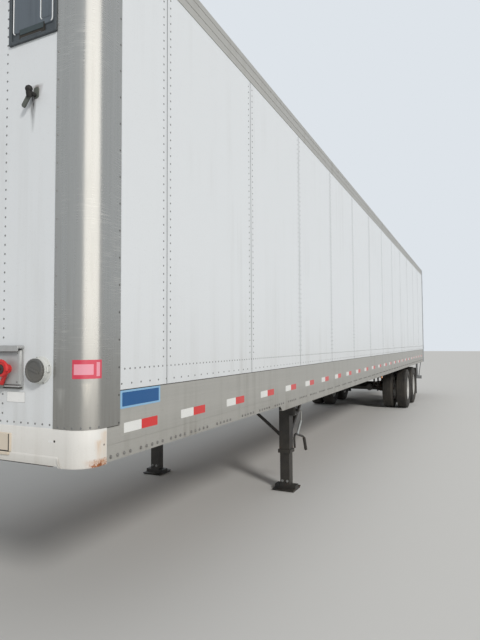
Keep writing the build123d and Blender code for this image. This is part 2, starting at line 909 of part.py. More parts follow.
with BuildPart() as landing_feet:
    shoe_half = shoe_length / 2
    toe_rise = 2 * shoe_thick
    for side, sign in sides:
        leg_y = sign * leg_track_half
        block(
            leg_x - leg_inner / 2, leg_x + leg_inner / 2, leg_y - leg_inner / 2, leg_y + leg_inner / 2,
            shoe_riser, leg_inner_top_z,
        )
        with BuildSketch(Plane.XZ.offset(-(leg_y + shoe_width / 2))):
            outline([
                (leg_x - shoe_half, toe_rise),
                (leg_x - shoe_half + toe_rise, 0),
                (leg_x + shoe_half - toe_rise, 0),
                (leg_x + shoe_half, toe_rise),
                (leg_x + leg_inner / 2, toe_rise),
                (leg_x + leg_inner / 2, shoe_riser),
                (leg_x - leg_inner / 2, shoe_riser),
                (leg_x - leg_inner / 2, toe_rise),
            ])
        extrude(amount=shoe_width)
landing_feet.part.label = "landing_feet"
export_step(landing_feet.part, "parts/landing_feet.step")

with BuildPart() as landing_braces:
    brace_low_z = leg_outer_bottom_z + brace_rise
    brace_front_x = leg_x - leg_half
    brace_inner_y = leg_track_half - leg_half
    for side, sign in sides:
        leg_y = sign * leg_track_half
        with BuildSketch(Plane.XZ.offset(-(leg_y + brace_width / 2))):
            outline([
                (brace_front_x, brace_low_z),
                (brace_front_x, brace_low_z + brace_width),
                (brace_front_x - brace_run + brace_width, beam_bottom_z),
                (brace_front_x - brace_run, beam_bottom_z),
            ])
        extrude(amount=brace_width)
        with BuildSketch(Plane.YZ.offset(leg_x - shaft_radius - 2 * brace_thick)):
            outline([
                (sign * brace_inner_y, brace_low_z),
                (sign * brace_inner_y, brace_low_z + brace_width),
                (sign * (brace_inner_y - brace_run + brace_width), beam_bottom_z),
                (sign * (brace_inner_y - brace_run), beam_bottom_z),
            ])
        extrude(amount=brace_thick)
landing_braces.part.label = "landing_braces"
export_step(landing_braces.part, "parts/landing_braces.step")

with BuildPart() as landing_drive:
    gearbox_y = leg_track_half + leg_half
    crank_y = gearbox_y + gearbox_width
    crank_z = shaft_z - crank_drop
    block(
        leg_x - gearbox_length / 2, leg_x + gearbox_length / 2, gearbox_y, crank_y,
        shaft_z - gearbox_below, shaft_z + gearbox_above,
    )
    with BuildSketch(Plane.XZ.offset(-brace_inner_y)):
        with Locations((leg_x, shaft_z)):
            Circle(shaft_radius)
    extrude(amount=2 * brace_inner_y)
    with BuildSketch(Plane.XZ.offset(-(crank_y + crank_reach))):
        with Locations((leg_x, crank_z)):
            RegularPolygon(crank_radius, pin_sides)
    extrude(amount=crank_reach)
    block(
        leg_x - crank_radius, leg_x + crank_radius, crank_y + crank_reach - 2 * crank_radius,
        crank_y + crank_reach, crank_z - crank_rise, crank_z,
    )
landing_drive.part.label = "landing_drive"
export_step(landing_drive.part, "parts/landing_drive.step")

# Sliding tandem: rails on the body, then the slider with its hangers
with BuildPart() as body_rails:
    for side, sign in sides:
        block(
            frame_x, at(body_rail_front_station), sign * spring_y - body_rail_width / 2,
            sign * spring_y + body_rail_width / 2, beam_bottom_z - body_rail_depth, beam_bottom_z,
        )
body_rails.part.label = "body_rails"
export_step(body_rails.part, "parts/body_rails.step")

with BuildPart() as slider_frame:
    slider_rail_in = spring_y - slider_rail_width / 2
    hanger_low_z = spring_end_z - hanger_drop
    for side, sign in sides:
        block(
            slider_rear_x, slider_front_x, sign * slider_rail_in,
            sign * (slider_rail_in + slider_rail_width), slider_bottom_z, slider_top_z,
        )
        for pad_x in (slider_front_x - slide_pad_inset, equalizer_x, slider_rear_x + slide_pad_inset):
            block(
                pad_x - slide_pad_length / 2, pad_x + slide_pad_length / 2,
                sign * spring_y - slide_pad_width / 2, sign * spring_y + slide_pad_width / 2,
                slider_top_z, slider_top_z + slide_gap - slide_pad_gap,
            )
        for hanger_x in hanger_places:
            for cheek in (-1, 1):
                cheek_y = sign * spring_y + cheek * hanger_width / 2
                with BuildSketch(Plane.XZ.offset(-(cheek_y + hanger_plate / 2))):
                    outline([
                        (hanger_x - hanger_length, slider_bottom_z),
                        (hanger_x + hanger_length, slider_bottom_z),
                        (hanger_x + hanger_length / 2, hanger_low_z),
                        (hanger_x - hanger_length / 2, hanger_low_z),
                    ])
                extrude(amount=hanger_plate)
            block(
                hanger_x - hanger_length, hanger_x + hanger_length,
                sign * spring_y - hanger_width / 2, sign * spring_y + hanger_width / 2,
                slider_bottom_z - hanger_plate, slider_bottom_z,
            )
        for hanger_x in (hanger_places[0], hanger_places[-1]):
            block(
                hanger_x - hanger_length / 2, hanger_x + hanger_length / 2,
                sign * spring_y - hanger_width / 2, sign * spring_y + hanger_width / 2,
                spring_end_z + seat_gap, spring_end_z + seat_gap + leaf_thick,
            )
    for cross_x in (slider_rear_x + slider_end_inset, *hanger_places, slider_front_x - slider_end_inset):
        block(
            cross_x - slider_cross_width / 2, cross_x + slider_cross_width / 2,
            -slider_rail_in, slider_rail_in, slider_bottom_z, slider_top_z - slider_cross_drop,
        )
slider_frame.part.label = "slider_frame"
export_step(slider_frame.part, "parts/slider_frame.step")


def leaf(centre_x, half_span, bottom_z):
    """One curved leaf, seen from the side."""
    ends = bottom_z + half_span ** 2 / (2 * spring_radius)
    with BuildLine() as edge:
        lower = ThreePointArc(
            (centre_x - half_span, ends),
            (centre_x, bottom_z),
            (centre_x + half_span, ends),
        )
        upper = ThreePointArc(
            (centre_x - half_span, ends + leaf_thick),
            (centre_x, bottom_z + leaf_thick),
            (centre_x + half_span, ends + leaf_thick),
        )
        Line(lower @ 0, upper @ 0)
        Line(lower @ 1, upper @ 1)
    make_face(edge.edges())


# Leaf springs: three leaves each, the shortest at the bottom
with BuildPart() as leaf_springs:
    for side, sign in sides:
        for name, axle_x in axle_places:
            with BuildSketch(Plane.XZ.offset(-(sign * spring_y + spring_width / 2))):
                for layer, half_span in enumerate(reversed(leaf_spans)):
                    leaf(axle_x, half_span, spring_bottom_z + layer * leaf_thick)
            extrude(amount=spring_width)
leaf_springs.part.label = "leaf_springs"
export_step(leaf_springs.part, "parts/leaf_springs.step")

# Equalizers: a rocker over the ends of the front and rear springs, on a pivot in the middle hanger
with BuildPart() as equalizers:
    seat_z = spring_end_z + seat_gap
    for side, sign in sides:
        with BuildSketch(Plane.XZ.offset(-(sign * spring_y + equalizer_width / 2))):
            outline([
                (equalizer_x - equalizer_half, seat_z),
                (equalizer_x - equalizer_waist, seat_z),
                (equalizer_x - equalizer_waist / 2, seat_z - equalizer_drop),
                (equalizer_x + equalizer_waist / 2, seat_z - equalizer_drop),
                (equalizer_x + equalizer_waist, seat_z),
                (equalizer_x + equalizer_half, seat_z),
                (equalizer_x + equalizer_half, seat_z + equalizer_end),
                (equalizer_x + equalizer_waist / 2, seat_z + equalizer_rise),
                (equalizer_x - equalizer_waist / 2, seat_z + equalizer_rise),
                (equalizer_x - equalizer_half, seat_z + equalizer_end),
            ])
        extrude(amount=equalizer_width)
        with BuildSketch(Plane.XZ.offset(-(sign * spring_y + pivot_half))):
            with Locations((equalizer_x, seat_z + equalizer_end)):
                RegularPolygon(pivot_radius, pin_sides)
        extrude(amount=2 * pivot_half)
equalizers.part.label = "equalizers"
export_step(equalizers.part, "parts/equalizers.step")

# Axles: a tube with a spindle and a dust shield at each end, and the spring seats
with BuildPart() as axles:
    for name, axle_x in axle_places:
        with BuildSketch(Plane.XZ.offset(-axle_tube_end_y)):
            with Locations((axle_x, wheel_radius)):
                RegularPolygon(axle_radius, tube_facets)
        extrude(amount=2 * axle_tube_end_y)
        for side, sign in sides:
            spindle_high_y = max(sign * axle_tube_end_y, sign * spindle_end_y)
            with BuildSketch(Plane.XZ.offset(-spindle_high_y)):
                with Locations((axle_x, wheel_radius)):
                    RegularPolygon(spindle_radius, tube_facets)
            extrude(amount=spindle_end_y - axle_tube_end_y)
            shield_high_y = max(sign * axle_tube_end_y, sign * (axle_tube_end_y - shield_thick))
            with BuildSketch(Plane.XZ.offset(-shield_high_y)):
                with Locations((axle_x, wheel_radius)):
                    RegularPolygon(shield_radius, shield_sides)
            extrude(amount=shield_thick)
            block(
                axle_x - seat_length / 2, axle_x + seat_length / 2, sign * spring_y - spring_width / 2,
                sign * spring_y + spring_width / 2, wheel_radius, spring_bottom_z,
            )
axles.part.label = "axles"
export_step(axles.part, "parts/axles.step")

# Torque arms, from a hanger ahead to the seat on each axle
with BuildPart() as torque_arms:
    pivot_z = spring_end_z - arm_pivot_drop
    seat_low_z = spring_bottom_z - arm_seat_drop - arm_depth
    for side, sign in sides:
        for (name, axle_x), hanger_x in zip(axle_places, hanger_places):
            seat_x = axle_x + seat_length / 2 + seat_gap
            with BuildSketch(Plane.XZ.offset(-(sign * spring_y + arm_width / 2))):
                outline([
                    (hanger_x, pivot_z - arm_depth / 2),
                    (hanger_x, pivot_z + arm_depth / 2),
                    (seat_x, seat_low_z + arm_depth),
                    (seat_x, seat_low_z),
                ])
            extrude(amount=arm_width)
            with BuildSketch(Plane.XZ.offset(-(sign * spring_y + pivot_half))):
                with Locations((hanger_x, pivot_z)):
                    RegularPolygon(arm_depth / 2, pin_sides)
            extrude(amount=2 * pivot_half)
torque_arms.part.label = "torque_arms"
export_step(torque_arms.part, "parts/torque_arms.step")

# Brake chambers in front of each axle
with BuildPart() as brake_chambers:
    chamber_z = wheel_radius + chamber_rise
    for side, sign in sides:
        for name, axle_x in axle_places:
            bracket_end_x = axle_x + axle_radius + chamber_reach
            with BuildSketch(Plane.YZ.offset(bracket_end_x)):
                with Locations((sign * chamber_y, chamber_z)):
                    RegularPolygon(chamber_radius, chamber_sides)
            extrude(amount=chamber_length)
            block(
                axle_x + axle_radius, bracket_end_x, sign * chamber_y - chamber_bracket / 2,
                sign * chamber_y + chamber_bracket / 2, chamber_z - chamber_bracket / 2,
                chamber_z + chamber_bracket / 2,
            )
brake_chambers.part.label = "brake_chambers"
export_step(brake_chambers.part, "parts/brake_chambers.step")


def faceted(centre_x, place_y, radius):
    """A face with flat sides round a wheel's axis; the radius is to the middle of a side."""
    with BuildSketch(Plane.XZ.offset(-place_y)) as face:
        with Locations((centre_x, wheel_radius)):
            RegularPolygon(radius, wheel_facets, major_radius=False, rotation=facet_turn)
    return face.sketch


def ring(centre_x, y0, y1, radius, mode=Mode.ADD):
    """A flat-sided disc round a wheel's axis, from one place across the body to another."""
    extrude(faceted(centre_x, max(y0, y1), radius), amount=abs(y1 - y0), mode=mode)


# Wheels: two tyres, and a hub with its drum and rims, at each of four places
lip_out = twin_outer_y + rim_half_width
lip_in = twin_inner_y - rim_half_width
for name, axle_x in axle_places:
    for side, sign in sides:
        with BuildPart() as tyres:
            for centre_y in (sign * twin_inner_y, sign * twin_outer_y):
                ring(axle_x, centre_y - tyre_half_width, centre_y + tyre_half_width, wheel_radius)
            rise = wheel_radius - shoulder_radius
            run = tyre_half_width - tread_half_width
            for sidewall in tyres.faces().filter_by(Axis.Y):
                chamfer(sidewall.edges(), length=rise, length2=run, reference=sidewall)
            for centre_y in (sign * twin_inner_y, sign * twin_outer_y):
                ring(
                    axle_x, centre_y - tyre_half_width, centre_y + tyre_half_width, bead_radius,
                    mode=Mode.SUBTRACT,
                )
        tyres.part.label = f"tyres_{name}_{side}"
        export_step(tyres.part, f"parts/tyres_{name}_{side}.step")

        with BuildPart() as wheels:
            disc_out = sign * (twin_centre_y + disc_half)
            disc_in = sign * (twin_centre_y - disc_half)
            ring(axle_x, sign * lip_in, sign * lip_out, rim_radius)
            ring(axle_x, disc_out, sign * lip_out, rim_bore, mode=Mode.SUBTRACT)
            ring(axle_x, sign * lip_in, disc_in, rim_bore, mode=Mode.SUBTRACT)
            with BuildSketch(Plane.XZ.offset(-max(sign * drum_start_y, disc_in))):
                with Locations((axle_x, wheel_radius)):
                    RegularPolygon(drum_radius, drum_sides)
            extrude(amount=twin_centre_y - disc_half - drum_start_y)
            with BuildSketch(Plane.XZ.offset(-max(disc_in, disc_out))):
                with Locations((axle_x, wheel_radius)):
                    with PolarLocations(hand_hole_circle, hand_hole_count):
                        RegularPolygon(hand_hole_radius, hand_hole_sides)
            extrude(amount=2 * disc_half, mode=Mode.SUBTRACT)
            with BuildSketch(Plane.XZ.offset(-max(disc_out, sign * hub_end_y))):
                with Locations((axle_x, wheel_radius)):
                    RegularPolygon(hub_radius, hub_sides)
            extrude(amount=hub_end_y - twin_centre_y - disc_half)
            bore_end_y = spindle_end_y + spindle_gap
            with BuildSketch(Plane.XZ.offset(-max(sign * drum_start_y, sign * bore_end_y))):
                with Locations((axle_x, wheel_radius)):
                    Circle(spindle_radius + spindle_gap)
            extrude(amount=bore_end_y - drum_start_y, mode=Mode.SUBTRACT)
        wheels.part.label = f"wheels_{name}_{side}"
        export_step(wheels.part, f"parts/wheels_{name}_{side}.step")

# Mud flaps, hung from a bar on the slider
with BuildPart() as flap_bars:
    for side, sign in sides:
        block(
            flap_x - flap_bar, flap_x, sign * (slider_rail_in + slider_rail_width),
            sign * (half_width - flap_inset), slider_bottom_z, slider_bottom_z + flap_bar,
        )
flap_bars.part.label = "flap_bars"
export_step(flap_bars.part, "parts/flap_bars.step")

with BuildPart() as mud_flaps:
    flap_top_z = slider_bottom_z + flap_bar
    for side, sign in sides:
        flap_out = sign * (half_width - flap_inset)
        block(
            flap_x, flap_x + flap_thick, flap_out - sign * flap_width, flap_out,
            flap_top_z - flap_height, flap_top_z,
        )
mud_flaps.part.label = "mud_flaps"
export_step(mud_flaps.part, "parts/mud_flaps.step")

# Air tank, across the body ahead of the tandem, on two saddles under a crossmember
with BuildPart() as air_tank:
    with BuildSketch(Plane.XZ.offset(-tank_length / 2)):
        with Locations((tank_x, beam_bottom_z - tank_radius - tank_drop)):
            RegularPolygon(tank_radius, tank_sides)
    extrude(amount=tank_length)
    for side, sign in sides:
        block(
            tank_x - saddle_half_length, tank_x + saddle_half_length,
            sign * saddle_y - saddle_width / 2, sign * saddle_y + saddle_width / 2,
            beam_bottom_z - saddle_depth, beam_bottom_z,
        )
air_tank.part.label = "air_tank"
export_step(air_tank.part, "parts/air_tank.step")

# Fittings on the front wall: the air and light connectors on their box, a document tube, a vent and a hook
with BuildPart() as air_box:
    box_front_x = plate_front_x + air_box_depth
    block(
        plate_front_x, box_front_x, air_box_low_y, air_box_high_y,
        air_box_z - air_box_height / 2, air_box_z + air_box_height / 2,
    )
    with BuildSketch(Plane.YZ.offset(box_front_x)):
        with Locations(*[(coupling_y, air_box_z) for coupling_y in coupling_places]):
            RegularPolygon(coupling_radius, 2 * pin_sides)
    extrude(amount=coupling_reach)
    block(
        box_front_x, box_front_x + socket_reach, socket_y - socket_size / 2, socket_y + socket_size / 2,
        air_box_z - socket_size / 2, air_box_z + socket_size / 2,
    )
air_box.part.label = "air_box"
export_step(air_box.part, "parts/air_box.step")

with BuildPart() as document_tube:
    with BuildSketch(Plane.YZ.offset(plate_front_x)):
        with Locations((tube_y, tube_z)):
            RegularPolygon(tube_radius, tube_sides)
    extrude(amount=fittings_reach + wall_inset)
document_tube.part.label = "document_tube"
export_step(document_tube.part, "parts/document_tube.step")

with BuildPart() as front_vent:
    vent_low_y = vent_y - vent_width / 2
    vent_high_y = vent_y + vent_width / 2
    vent_top_z = vent_bottom_z + vent_height
    recess_x = plate_front_x + vent_depth - vent_recess
    block(plate_front_x, plate_front_x + vent_depth, vent_low_y, vent_high_y, vent_bottom_z, vent_top_z)
    block(
        recess_x, plate_front_x + vent_depth, vent_low_y + vent_border, vent_high_y - vent_border,
        vent_bottom_z + vent_border, vent_top_z - vent_border, mode=Mode.SUBTRACT,
    )
    for place in (-1, 0, 1):
        rib_y = vent_y + place * vent_rib_pitch
        block(
            recess_x, recess_x + vent_rib_rise, rib_y - vent_rib_width / 2, rib_y + vent_rib_width / 2,
            vent_top_z - vent_border - vent_rib_length, vent_top_z - vent_border,
        )
front_vent.part.label = "front_vent"
export_step(front_vent.part, "parts/front_vent.step")

with BuildPart() as front_hook:
    with BuildSketch(Plane.YZ.offset(plate_front_x)):
        with Locations((hook_y, hook_z)):
            RegularPolygon(hook_radius, 2 * pin_sides)
    extrude(amount=hook_length)
front_hook.part.label = "front_hook"
export_step(front_hook.part, "parts/front_hook.step")
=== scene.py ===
# %% [markdown]
# This lesson dresses a dry van semi trailer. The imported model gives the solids: plate walls, rails,
# doors, a sliding tandem and landing legs, all in one shared frame. Blender adds what the solids leave
# plain: rivets, bolts, tread, lamp lenses, tape, blank plates and the finish of every surface. The
# script loads that frame first, so that each new piece goes straight to its real place in metres.

import bpy
import numpy as np
from mathutils import Matrix


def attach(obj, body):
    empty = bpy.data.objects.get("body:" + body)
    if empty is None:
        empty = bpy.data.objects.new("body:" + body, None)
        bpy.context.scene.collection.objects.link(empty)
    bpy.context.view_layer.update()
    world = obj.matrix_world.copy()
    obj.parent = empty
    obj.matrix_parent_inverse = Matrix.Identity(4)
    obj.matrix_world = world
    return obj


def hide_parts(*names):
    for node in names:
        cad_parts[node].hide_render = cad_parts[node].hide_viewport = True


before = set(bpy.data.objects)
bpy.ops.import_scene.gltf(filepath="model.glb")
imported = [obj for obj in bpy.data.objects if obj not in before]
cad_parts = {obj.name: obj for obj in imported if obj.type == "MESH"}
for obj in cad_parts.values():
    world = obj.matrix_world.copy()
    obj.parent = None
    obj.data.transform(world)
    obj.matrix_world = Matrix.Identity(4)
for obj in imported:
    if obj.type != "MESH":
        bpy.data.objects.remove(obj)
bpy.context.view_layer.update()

# %% [markdown]
# Every place below is worked out from a few sizes of the trailer: half of its length and width, the
# heights of its rails, and the stations of its plate joints, which count rearwards from the front.

# %% The trailer's main sizes, in metres
front_x = 8.077
rear_x = -8.077
half_width = 1.2955
plate_face_y = 1.2915
plate_face_x = 8.073
rail_face_y = 1.2865
corner_radius = 0.125
panel_low_z = 1.475
top_rail_low_z = 3.947
corner_low_z = 1.295
rail_low_z = 1.065
rear_frame_depth = 0.218
joint_stations = np.arange(14.666, 0.35, -1.27)
ahead, behind, upward, road_side = (1, 0, 0), (-1, 0, 0), (0, 0, 1), (0, 1, 0)
both_sides = (("left", 1), ("right", -1))
print(len(joint_stations), "plate joints on each side")

# %% [markdown]
# A mesh here is an array of points and an array of faces. A face holds four point numbers, and a
# triangle has -1 as its fourth. Grids of points give nearly every surface: rows run one way round the
# shape and columns the other, so whole surfaces come from a few lines of array arithmetic.


# %% Faces of a grid, and shapes joined and welded
def grid_faces(rows, columns, wrap_rows=False, wrap_columns=False):
    """Four neighbours make a face; its normal is the row direction crossed with the column direction."""
    row = np.arange(rows if wrap_rows else rows - 1)[:, None]
    column = np.arange(columns if wrap_columns else columns - 1)[None, :]
    next_row = (row + 1) % rows
    next_column = (column + 1) % columns
    near, far = row * columns, next_row * columns
    corners = [near + column, far + column, far + next_column, near + next_column]
    return np.stack([np.broadcast_to(c, (row.size, column.size)) for c in corners], -1).reshape(-1, 4)


def join(*shapes):
    """Several shapes as one: each shape's point numbers are raised by the points that come before it."""
    counts = np.cumsum([0] + [len(points) for points, faces in shapes])
    points = np.concatenate([points for points, faces in shapes])
    faces = [np.where(faces < 0, -1, faces + start) for (_, faces), start in zip(shapes, counts)]
    return points, np.concatenate(faces)


def weld(shape, tolerance=2e-5):
    """Points closer than the tolerance become one, and a face that loses a corner becomes a triangle."""
    points, faces = shape
    keys = np.round(points / tolerance).astype(np.int64)
    _, first, back = np.unique(keys, axis=0, return_index=True, return_inverse=True)
    back = back.reshape(-1)
    triangles = faces[faces[:, 3] < 0]
    triangles = np.concatenate([back[triangles[:, :3]], np.full((len(triangles), 1), -1)], axis=1)
    quads = back[faces[faces[:, 3] >= 0]]
    same = quads == np.roll(quads, -1, axis=1)
    whole = quads[same.sum(axis=1) == 0]
    pinched = quads[same.sum(axis=1) == 1]
    start = np.argmax(pinched == np.roll(pinched, -1, axis=1), axis=1)
    corners = np.take_along_axis(pinched, (start[:, None] + np.array([1, 2, 3])) % 4, axis=1)
    corners = np.concatenate([corners, np.full((len(corners), 1), -1)], axis=1)
    return points[first], np.concatenate([whole, corners, triangles])


# %% [markdown]
# Three makers cover most fittings. A turned shape carries a profile round an axis, as a lathe does. A
# raised shape lifts an outline off a surface through a few levels, which gives plates, nuts, lenses and
# boxes with eased edges. A carried shape takes a section along a path. Small hardware is made once at
# the origin and then spread over all its places at one stroke.


# %% Directions, and shapes turned round an axis
def basis(out, up):
    """Three directions square to each other: across, up and out, with across = up x out."""
    out = np.asarray(out, float)
    out = out / np.linalg.norm(out, axis=-1, keepdims=True)
    up = np.asarray(up, float)
    across = np.cross(up, out)
    across = across / np.linalg.norm(across, axis=-1, keepdims=True)
    return across, np.cross(out, across), out


def turned(profile, sides, place=(0, 0, 0), out=upward, up=road_side, closed=False):
    """Point = place + radius (cos t across + sin t up) + along out, for each (along, radius)."""
    across, up, out = basis(out, up)
    along, radius = np.asarray(profile, float).T
    turn = np.arange(sides) * 2 * np.pi / sides
    ring = np.cos(turn)[:, None] * across + np.sin(turn)[:, None] * up
    points = np.asarray(place, float) + radius[None, :, None] * ring[:, None] + along[None, :, None] * out
    faces = grid_faces(sides, len(along), wrap_rows=True, wrap_columns=closed)
    return weld((points.reshape(-1, 3), faces))


# %% Outlines, and shapes raised from them
def rounded_box(width, height, radius, per_corner=4):
    """An outline maker: a quarter circle at each corner of a rectangle, all moved in by the inset."""
    def outline(inset):
        half = np.maximum(np.array([width, height]) / 2 - inset, 0)
        bend = float(np.clip(radius - inset, 0, half.min()))
        turn = np.radians(np.linspace(0, 90, per_corner)[None, :] + np.arange(4)[:, None] * 90)
        sign = np.array([(1, 1), (-1, 1), (-1, -1), (1, -1)])[:, None]
        points = sign * (half - bend) + bend * np.stack([np.cos(turn), np.sin(turn)], -1)
        return points.reshape(-1, 2)
    return outline


def many_sided(sides, radius, turn=0.0):
    """An outline maker: points at equal turns on a circle, whose radius shrinks by the inset."""
    def outline(inset):
        angle = turn + np.arange(sides) * 2 * np.pi / sides
        return max(radius - inset, 0) * np.stack([np.cos(angle), np.sin(angle)], -1)
    return outline


def raised(outline, levels, place=(0, 0, 0), out=upward, up=road_side):
    """Point = place + outline(inset) in the plane + height out, for each (inset, height) of the levels."""
    across, up, out = basis(out, up)
    flat = np.stack([outline(inset) for inset, height in levels], axis=1)
    height = np.array([height for inset, height in levels])
    points = np.asarray(place, float) + flat[:, :, 0:1] * across + flat[:, :, 1:2] * up
    points = points + height[None, :, None] * out
    faces = grid_faces(flat.shape[0], flat.shape[1], wrap_rows=True)
    return weld((points.reshape(-1, 3), faces))

# %% Plates, nuts and bolt heads
to_middle = 1.0
print("an inset of", to_middle, "m is wider than any piece, so it draws an outline in to its middle")


def plate_levels(thick, ease, base=0.0):
    """Levels of a closed plate: out from the middle of its back, up, over an eased edge, and in again."""
    top = base + thick
    return [(to_middle, base), (0, base), (0, top - ease), (ease, top), (to_middle, top)]


def plate(outline, levels, *where):
    """A raised rounded box: width, height and corner radius, then thickness, ease and height of its back."""
    return raised(rounded_box(*outline), plate_levels(*levels), *where)


def hexagon(radius, levels, *where):
    """A raised six-sided plate, as a nut or the head of a bolt is."""
    return raised(many_sided(6, radius), plate_levels(*levels), *where)


def front_plate(outline, levels, y, z, x=plate_face_x):
    """A plate that faces ahead, on the front wall's skin unless x says otherwise."""
    return plate(outline, levels, (x, y, z), ahead, upward)


# %% Sections carried along a path
def outwards(shape):
    """Turns faces over if they hold a negative volume: the sum of a . (b x c + c x d) for faces a b c d."""
    points, faces = shape
    a, b, c, d = ((points - points.mean(axis=0))[faces[:, corner]] for corner in range(4))
    volume = (a * (np.cross(b, c) + np.cross(c, d))).sum()
    return points, (faces if volume > 0 else faces[:, ::-1])


def carried(path, side, up, section):
    """Point = path + side s + up t for each (s, t) of the section, which closes to a point at both ends."""
    path, side, up = (np.concatenate([way[:1], way, way[-1:]]) for way in (path, side, up))
    size = np.ones((len(path), 1, 1))
    size[[0, -1]] = 0
    section = np.asarray(section, float)
    rings = section.mean(axis=0) + size * (section - section.mean(axis=0))
    points = path[:, None] + rings[..., 0:1] * side[:, None] + rings[..., 1:2] * up[:, None]
    return weld(outwards((points.reshape(-1, 3), grid_faces(len(path), len(section), wrap_columns=True))))


def bent_bar(path, radius, sides=10, reference=(0, 0, 1)):
    """A round bar: a circle carried along the path, square to the path's direction at each point."""
    path = np.asarray(path, float)
    direction = np.gradient(path, axis=0)
    side = np.cross(direction, np.asarray(reference, float))
    side = side / np.linalg.norm(side, axis=1, keepdims=True)
    up = np.cross(side, direction)
    up = up / np.linalg.norm(up, axis=1, keepdims=True)
    turn = np.arange(sides) * 2 * np.pi / sides
    return carried(path, side, up, radius * np.stack([np.cos(turn), np.sin(turn)], -1))


# %% Copies spread over many places
def scatter(shape, places, out, up):
    """The shape's x, y and z are laid along across, up and out at every place, in one array."""
    points, faces = shape
    places = np.asarray(places, float).reshape(-1, 3)
    across, up, out = basis(np.broadcast_to(out, places.shape), np.broadcast_to(up, places.shape))
    x, y, z = np.moveaxis(points[None, :, :, None], 2, 0)
    spread = places[:, None] + x * across[:, None] + y * up[:, None] + z * out[:, None]
    starts = (np.arange(len(places)) * len(points))[:, None, None]
    copies = np.where(faces[None] < 0, -1, faces[None] + starts)
    return spread.reshape(-1, 3), copies.reshape(-1, 4)


def every(x, y, z):
    """All places whose x, y and z are taken from three lists."""
    return np.stack(np.meshgrid(x, y, z, indexing="ij"), -1).reshape(-1, 3)


def on_rear(shape, y, z, x=rear_x, up=upward):
    """Copies of a shape that face backwards, at all the places of x, y and z."""
    return scatter(shape, every([x], y, z), behind, up)


# %% [markdown]
# A finished piece is a mesh whose object sits at the origin, so its place is in its points, like the
# imported solids. It rides on the body that carries it, holds its finishes in material slots, and may stand
# for a plain solid. A piece may hold several finishes, such as a red coupling with a black seal.


# %% Put shapes into the scene
triangle_count = 0


def make_piece(name, parts, body, replaces=(), crease=35):
    """One mesh that rides on the body. A part is a shape or a list of shapes, with its material."""
    global triangle_count
    parts = [(join(*shape) if isinstance(shape, list) else shape, material) for shape, material in parts]
    points, faces = join(*[shape for shape, material in parts])
    sizes = np.where(faces[:, 3] < 0, 3, 4)
    mesh = bpy.data.meshes.new(name)
    mesh.vertices.add(len(points))
    mesh.vertices.foreach_set("co", points.astype(np.float32).ravel())
    mesh.loops.add(int(sizes.sum()))
    mesh.loops.foreach_set("vertex_index", faces[faces >= 0].astype(np.int32))
    mesh.polygons.add(len(faces))
    mesh.polygons.foreach_set("loop_start", (np.cumsum(sizes) - sizes).astype(np.int32))
    mesh.update(calc_edges=True)
    materials = []
    for shape, material in parts:
        if material not in materials:
            materials.append(material)
            mesh.materials.append(material)
    numbers = [np.full(len(shape[1]), materials.index(material)) for shape, material in parts]
    mesh.polygons.foreach_set("material_index", np.concatenate(numbers).astype(np.int32))
    mesh.polygons.foreach_set("use_smooth", np.ones(len(faces), bool))
    mesh.set_sharp_from_angle(angle=np.radians(crease))
    mesh.validate()
    obj = bpy.data.objects.new(name, mesh)
    bpy.context.scene.collection.objects.link(obj)
    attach(obj, body)
    if replaces:
        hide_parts(*replaces)
    triangles = int((sizes - 2).sum())
    triangle_count += triangles
    print(f"{name}: {triangles} triangles")


# %% [markdown]
# Finishes come next. An effect that several finishes share is a node group, built once: grime that
# runs down a wall, fine bumps, drawn metal, zinc crystals, rust, road dust, seams, stains, flush rivets
# and scratches. Each reads the object's own coordinates in metres, so its grain keeps its real size.


# %% Tools for node groups
def feed(tree, socket, value):
    """An input takes a link from another socket, or a plain value."""
    if isinstance(value, bpy.types.NodeSocket):
        tree.links.new(value, socket)
    else:
        socket.default_value = value


def add_node(tree, kind, inputs=None, **settings):
    """A node with its settings, and its inputs fed."""
    made = tree.nodes.new(f"ShaderNode{kind}")
    for key, value in settings.items():
        setattr(made, key, value)
    for key, value in (inputs or {}).items():
        feed(tree, made.inputs[key], value)
    return made


def start_group(name, inputs, outputs=("Color", "Mask")):
    """A node group: its tree, what it is given, and its end node. A socket's kind follows from its value."""
    tree = bpy.data.node_groups.new(name, "ShaderNodeTree")
    for key, value in inputs.items():
        kind = {4: "Color", 3: "Vector", 1: "Float"}[np.size(value)]
        tree.interface.new_socket(
            key, in_out="INPUT", socket_type=f"NodeSocket{kind}",
        ).default_value = value
    for key in outputs:
        kind = {"Color": "Color", "Normal": "Vector"}.get(key, "Float")
        tree.interface.new_socket(key, in_out="OUTPUT", socket_type=f"NodeSocket{kind}")
    return tree, tree.nodes.new("NodeGroupInput").outputs, tree.nodes.new("NodeGroupOutput")


def end_group(tree, end, **results):
    """What the group gives out, by the names of its outputs."""
    for key, value in results.items():
        tree.links.new(value, end.inputs[key])


# %% Sums, ranges and mixes inside a group
def math(tree, operation, first, second=0.0, clamp=False):
    """One sum or product of two values."""
    return add_node(tree, "Math", {0: first, 1: second}, operation=operation, use_clamp=clamp).outputs[0]


def vector_math(tree, operation, first, second):
    """One sum, product or distance of two vectors."""
    return add_node(tree, "VectorMath", {0: first, 1: second}, operation=operation)


def axis_of(tree, vector, axis):
    """One of a vector's three numbers."""
    return add_node(tree, "SeparateXYZ", {0: vector}).outputs[axis]


def times(tree, first, second, clamp=False):
    """The product of two values."""
    return math(tree, "MULTIPLY", first, second, clamp)


def fading(tree, distance, reach):
    """1 where the distance is nothing, falling evenly to 0 where it is the reach."""
    return math(tree, "SUBTRACT", 1.0, math(tree, "DIVIDE", distance, reach), clamp=True)


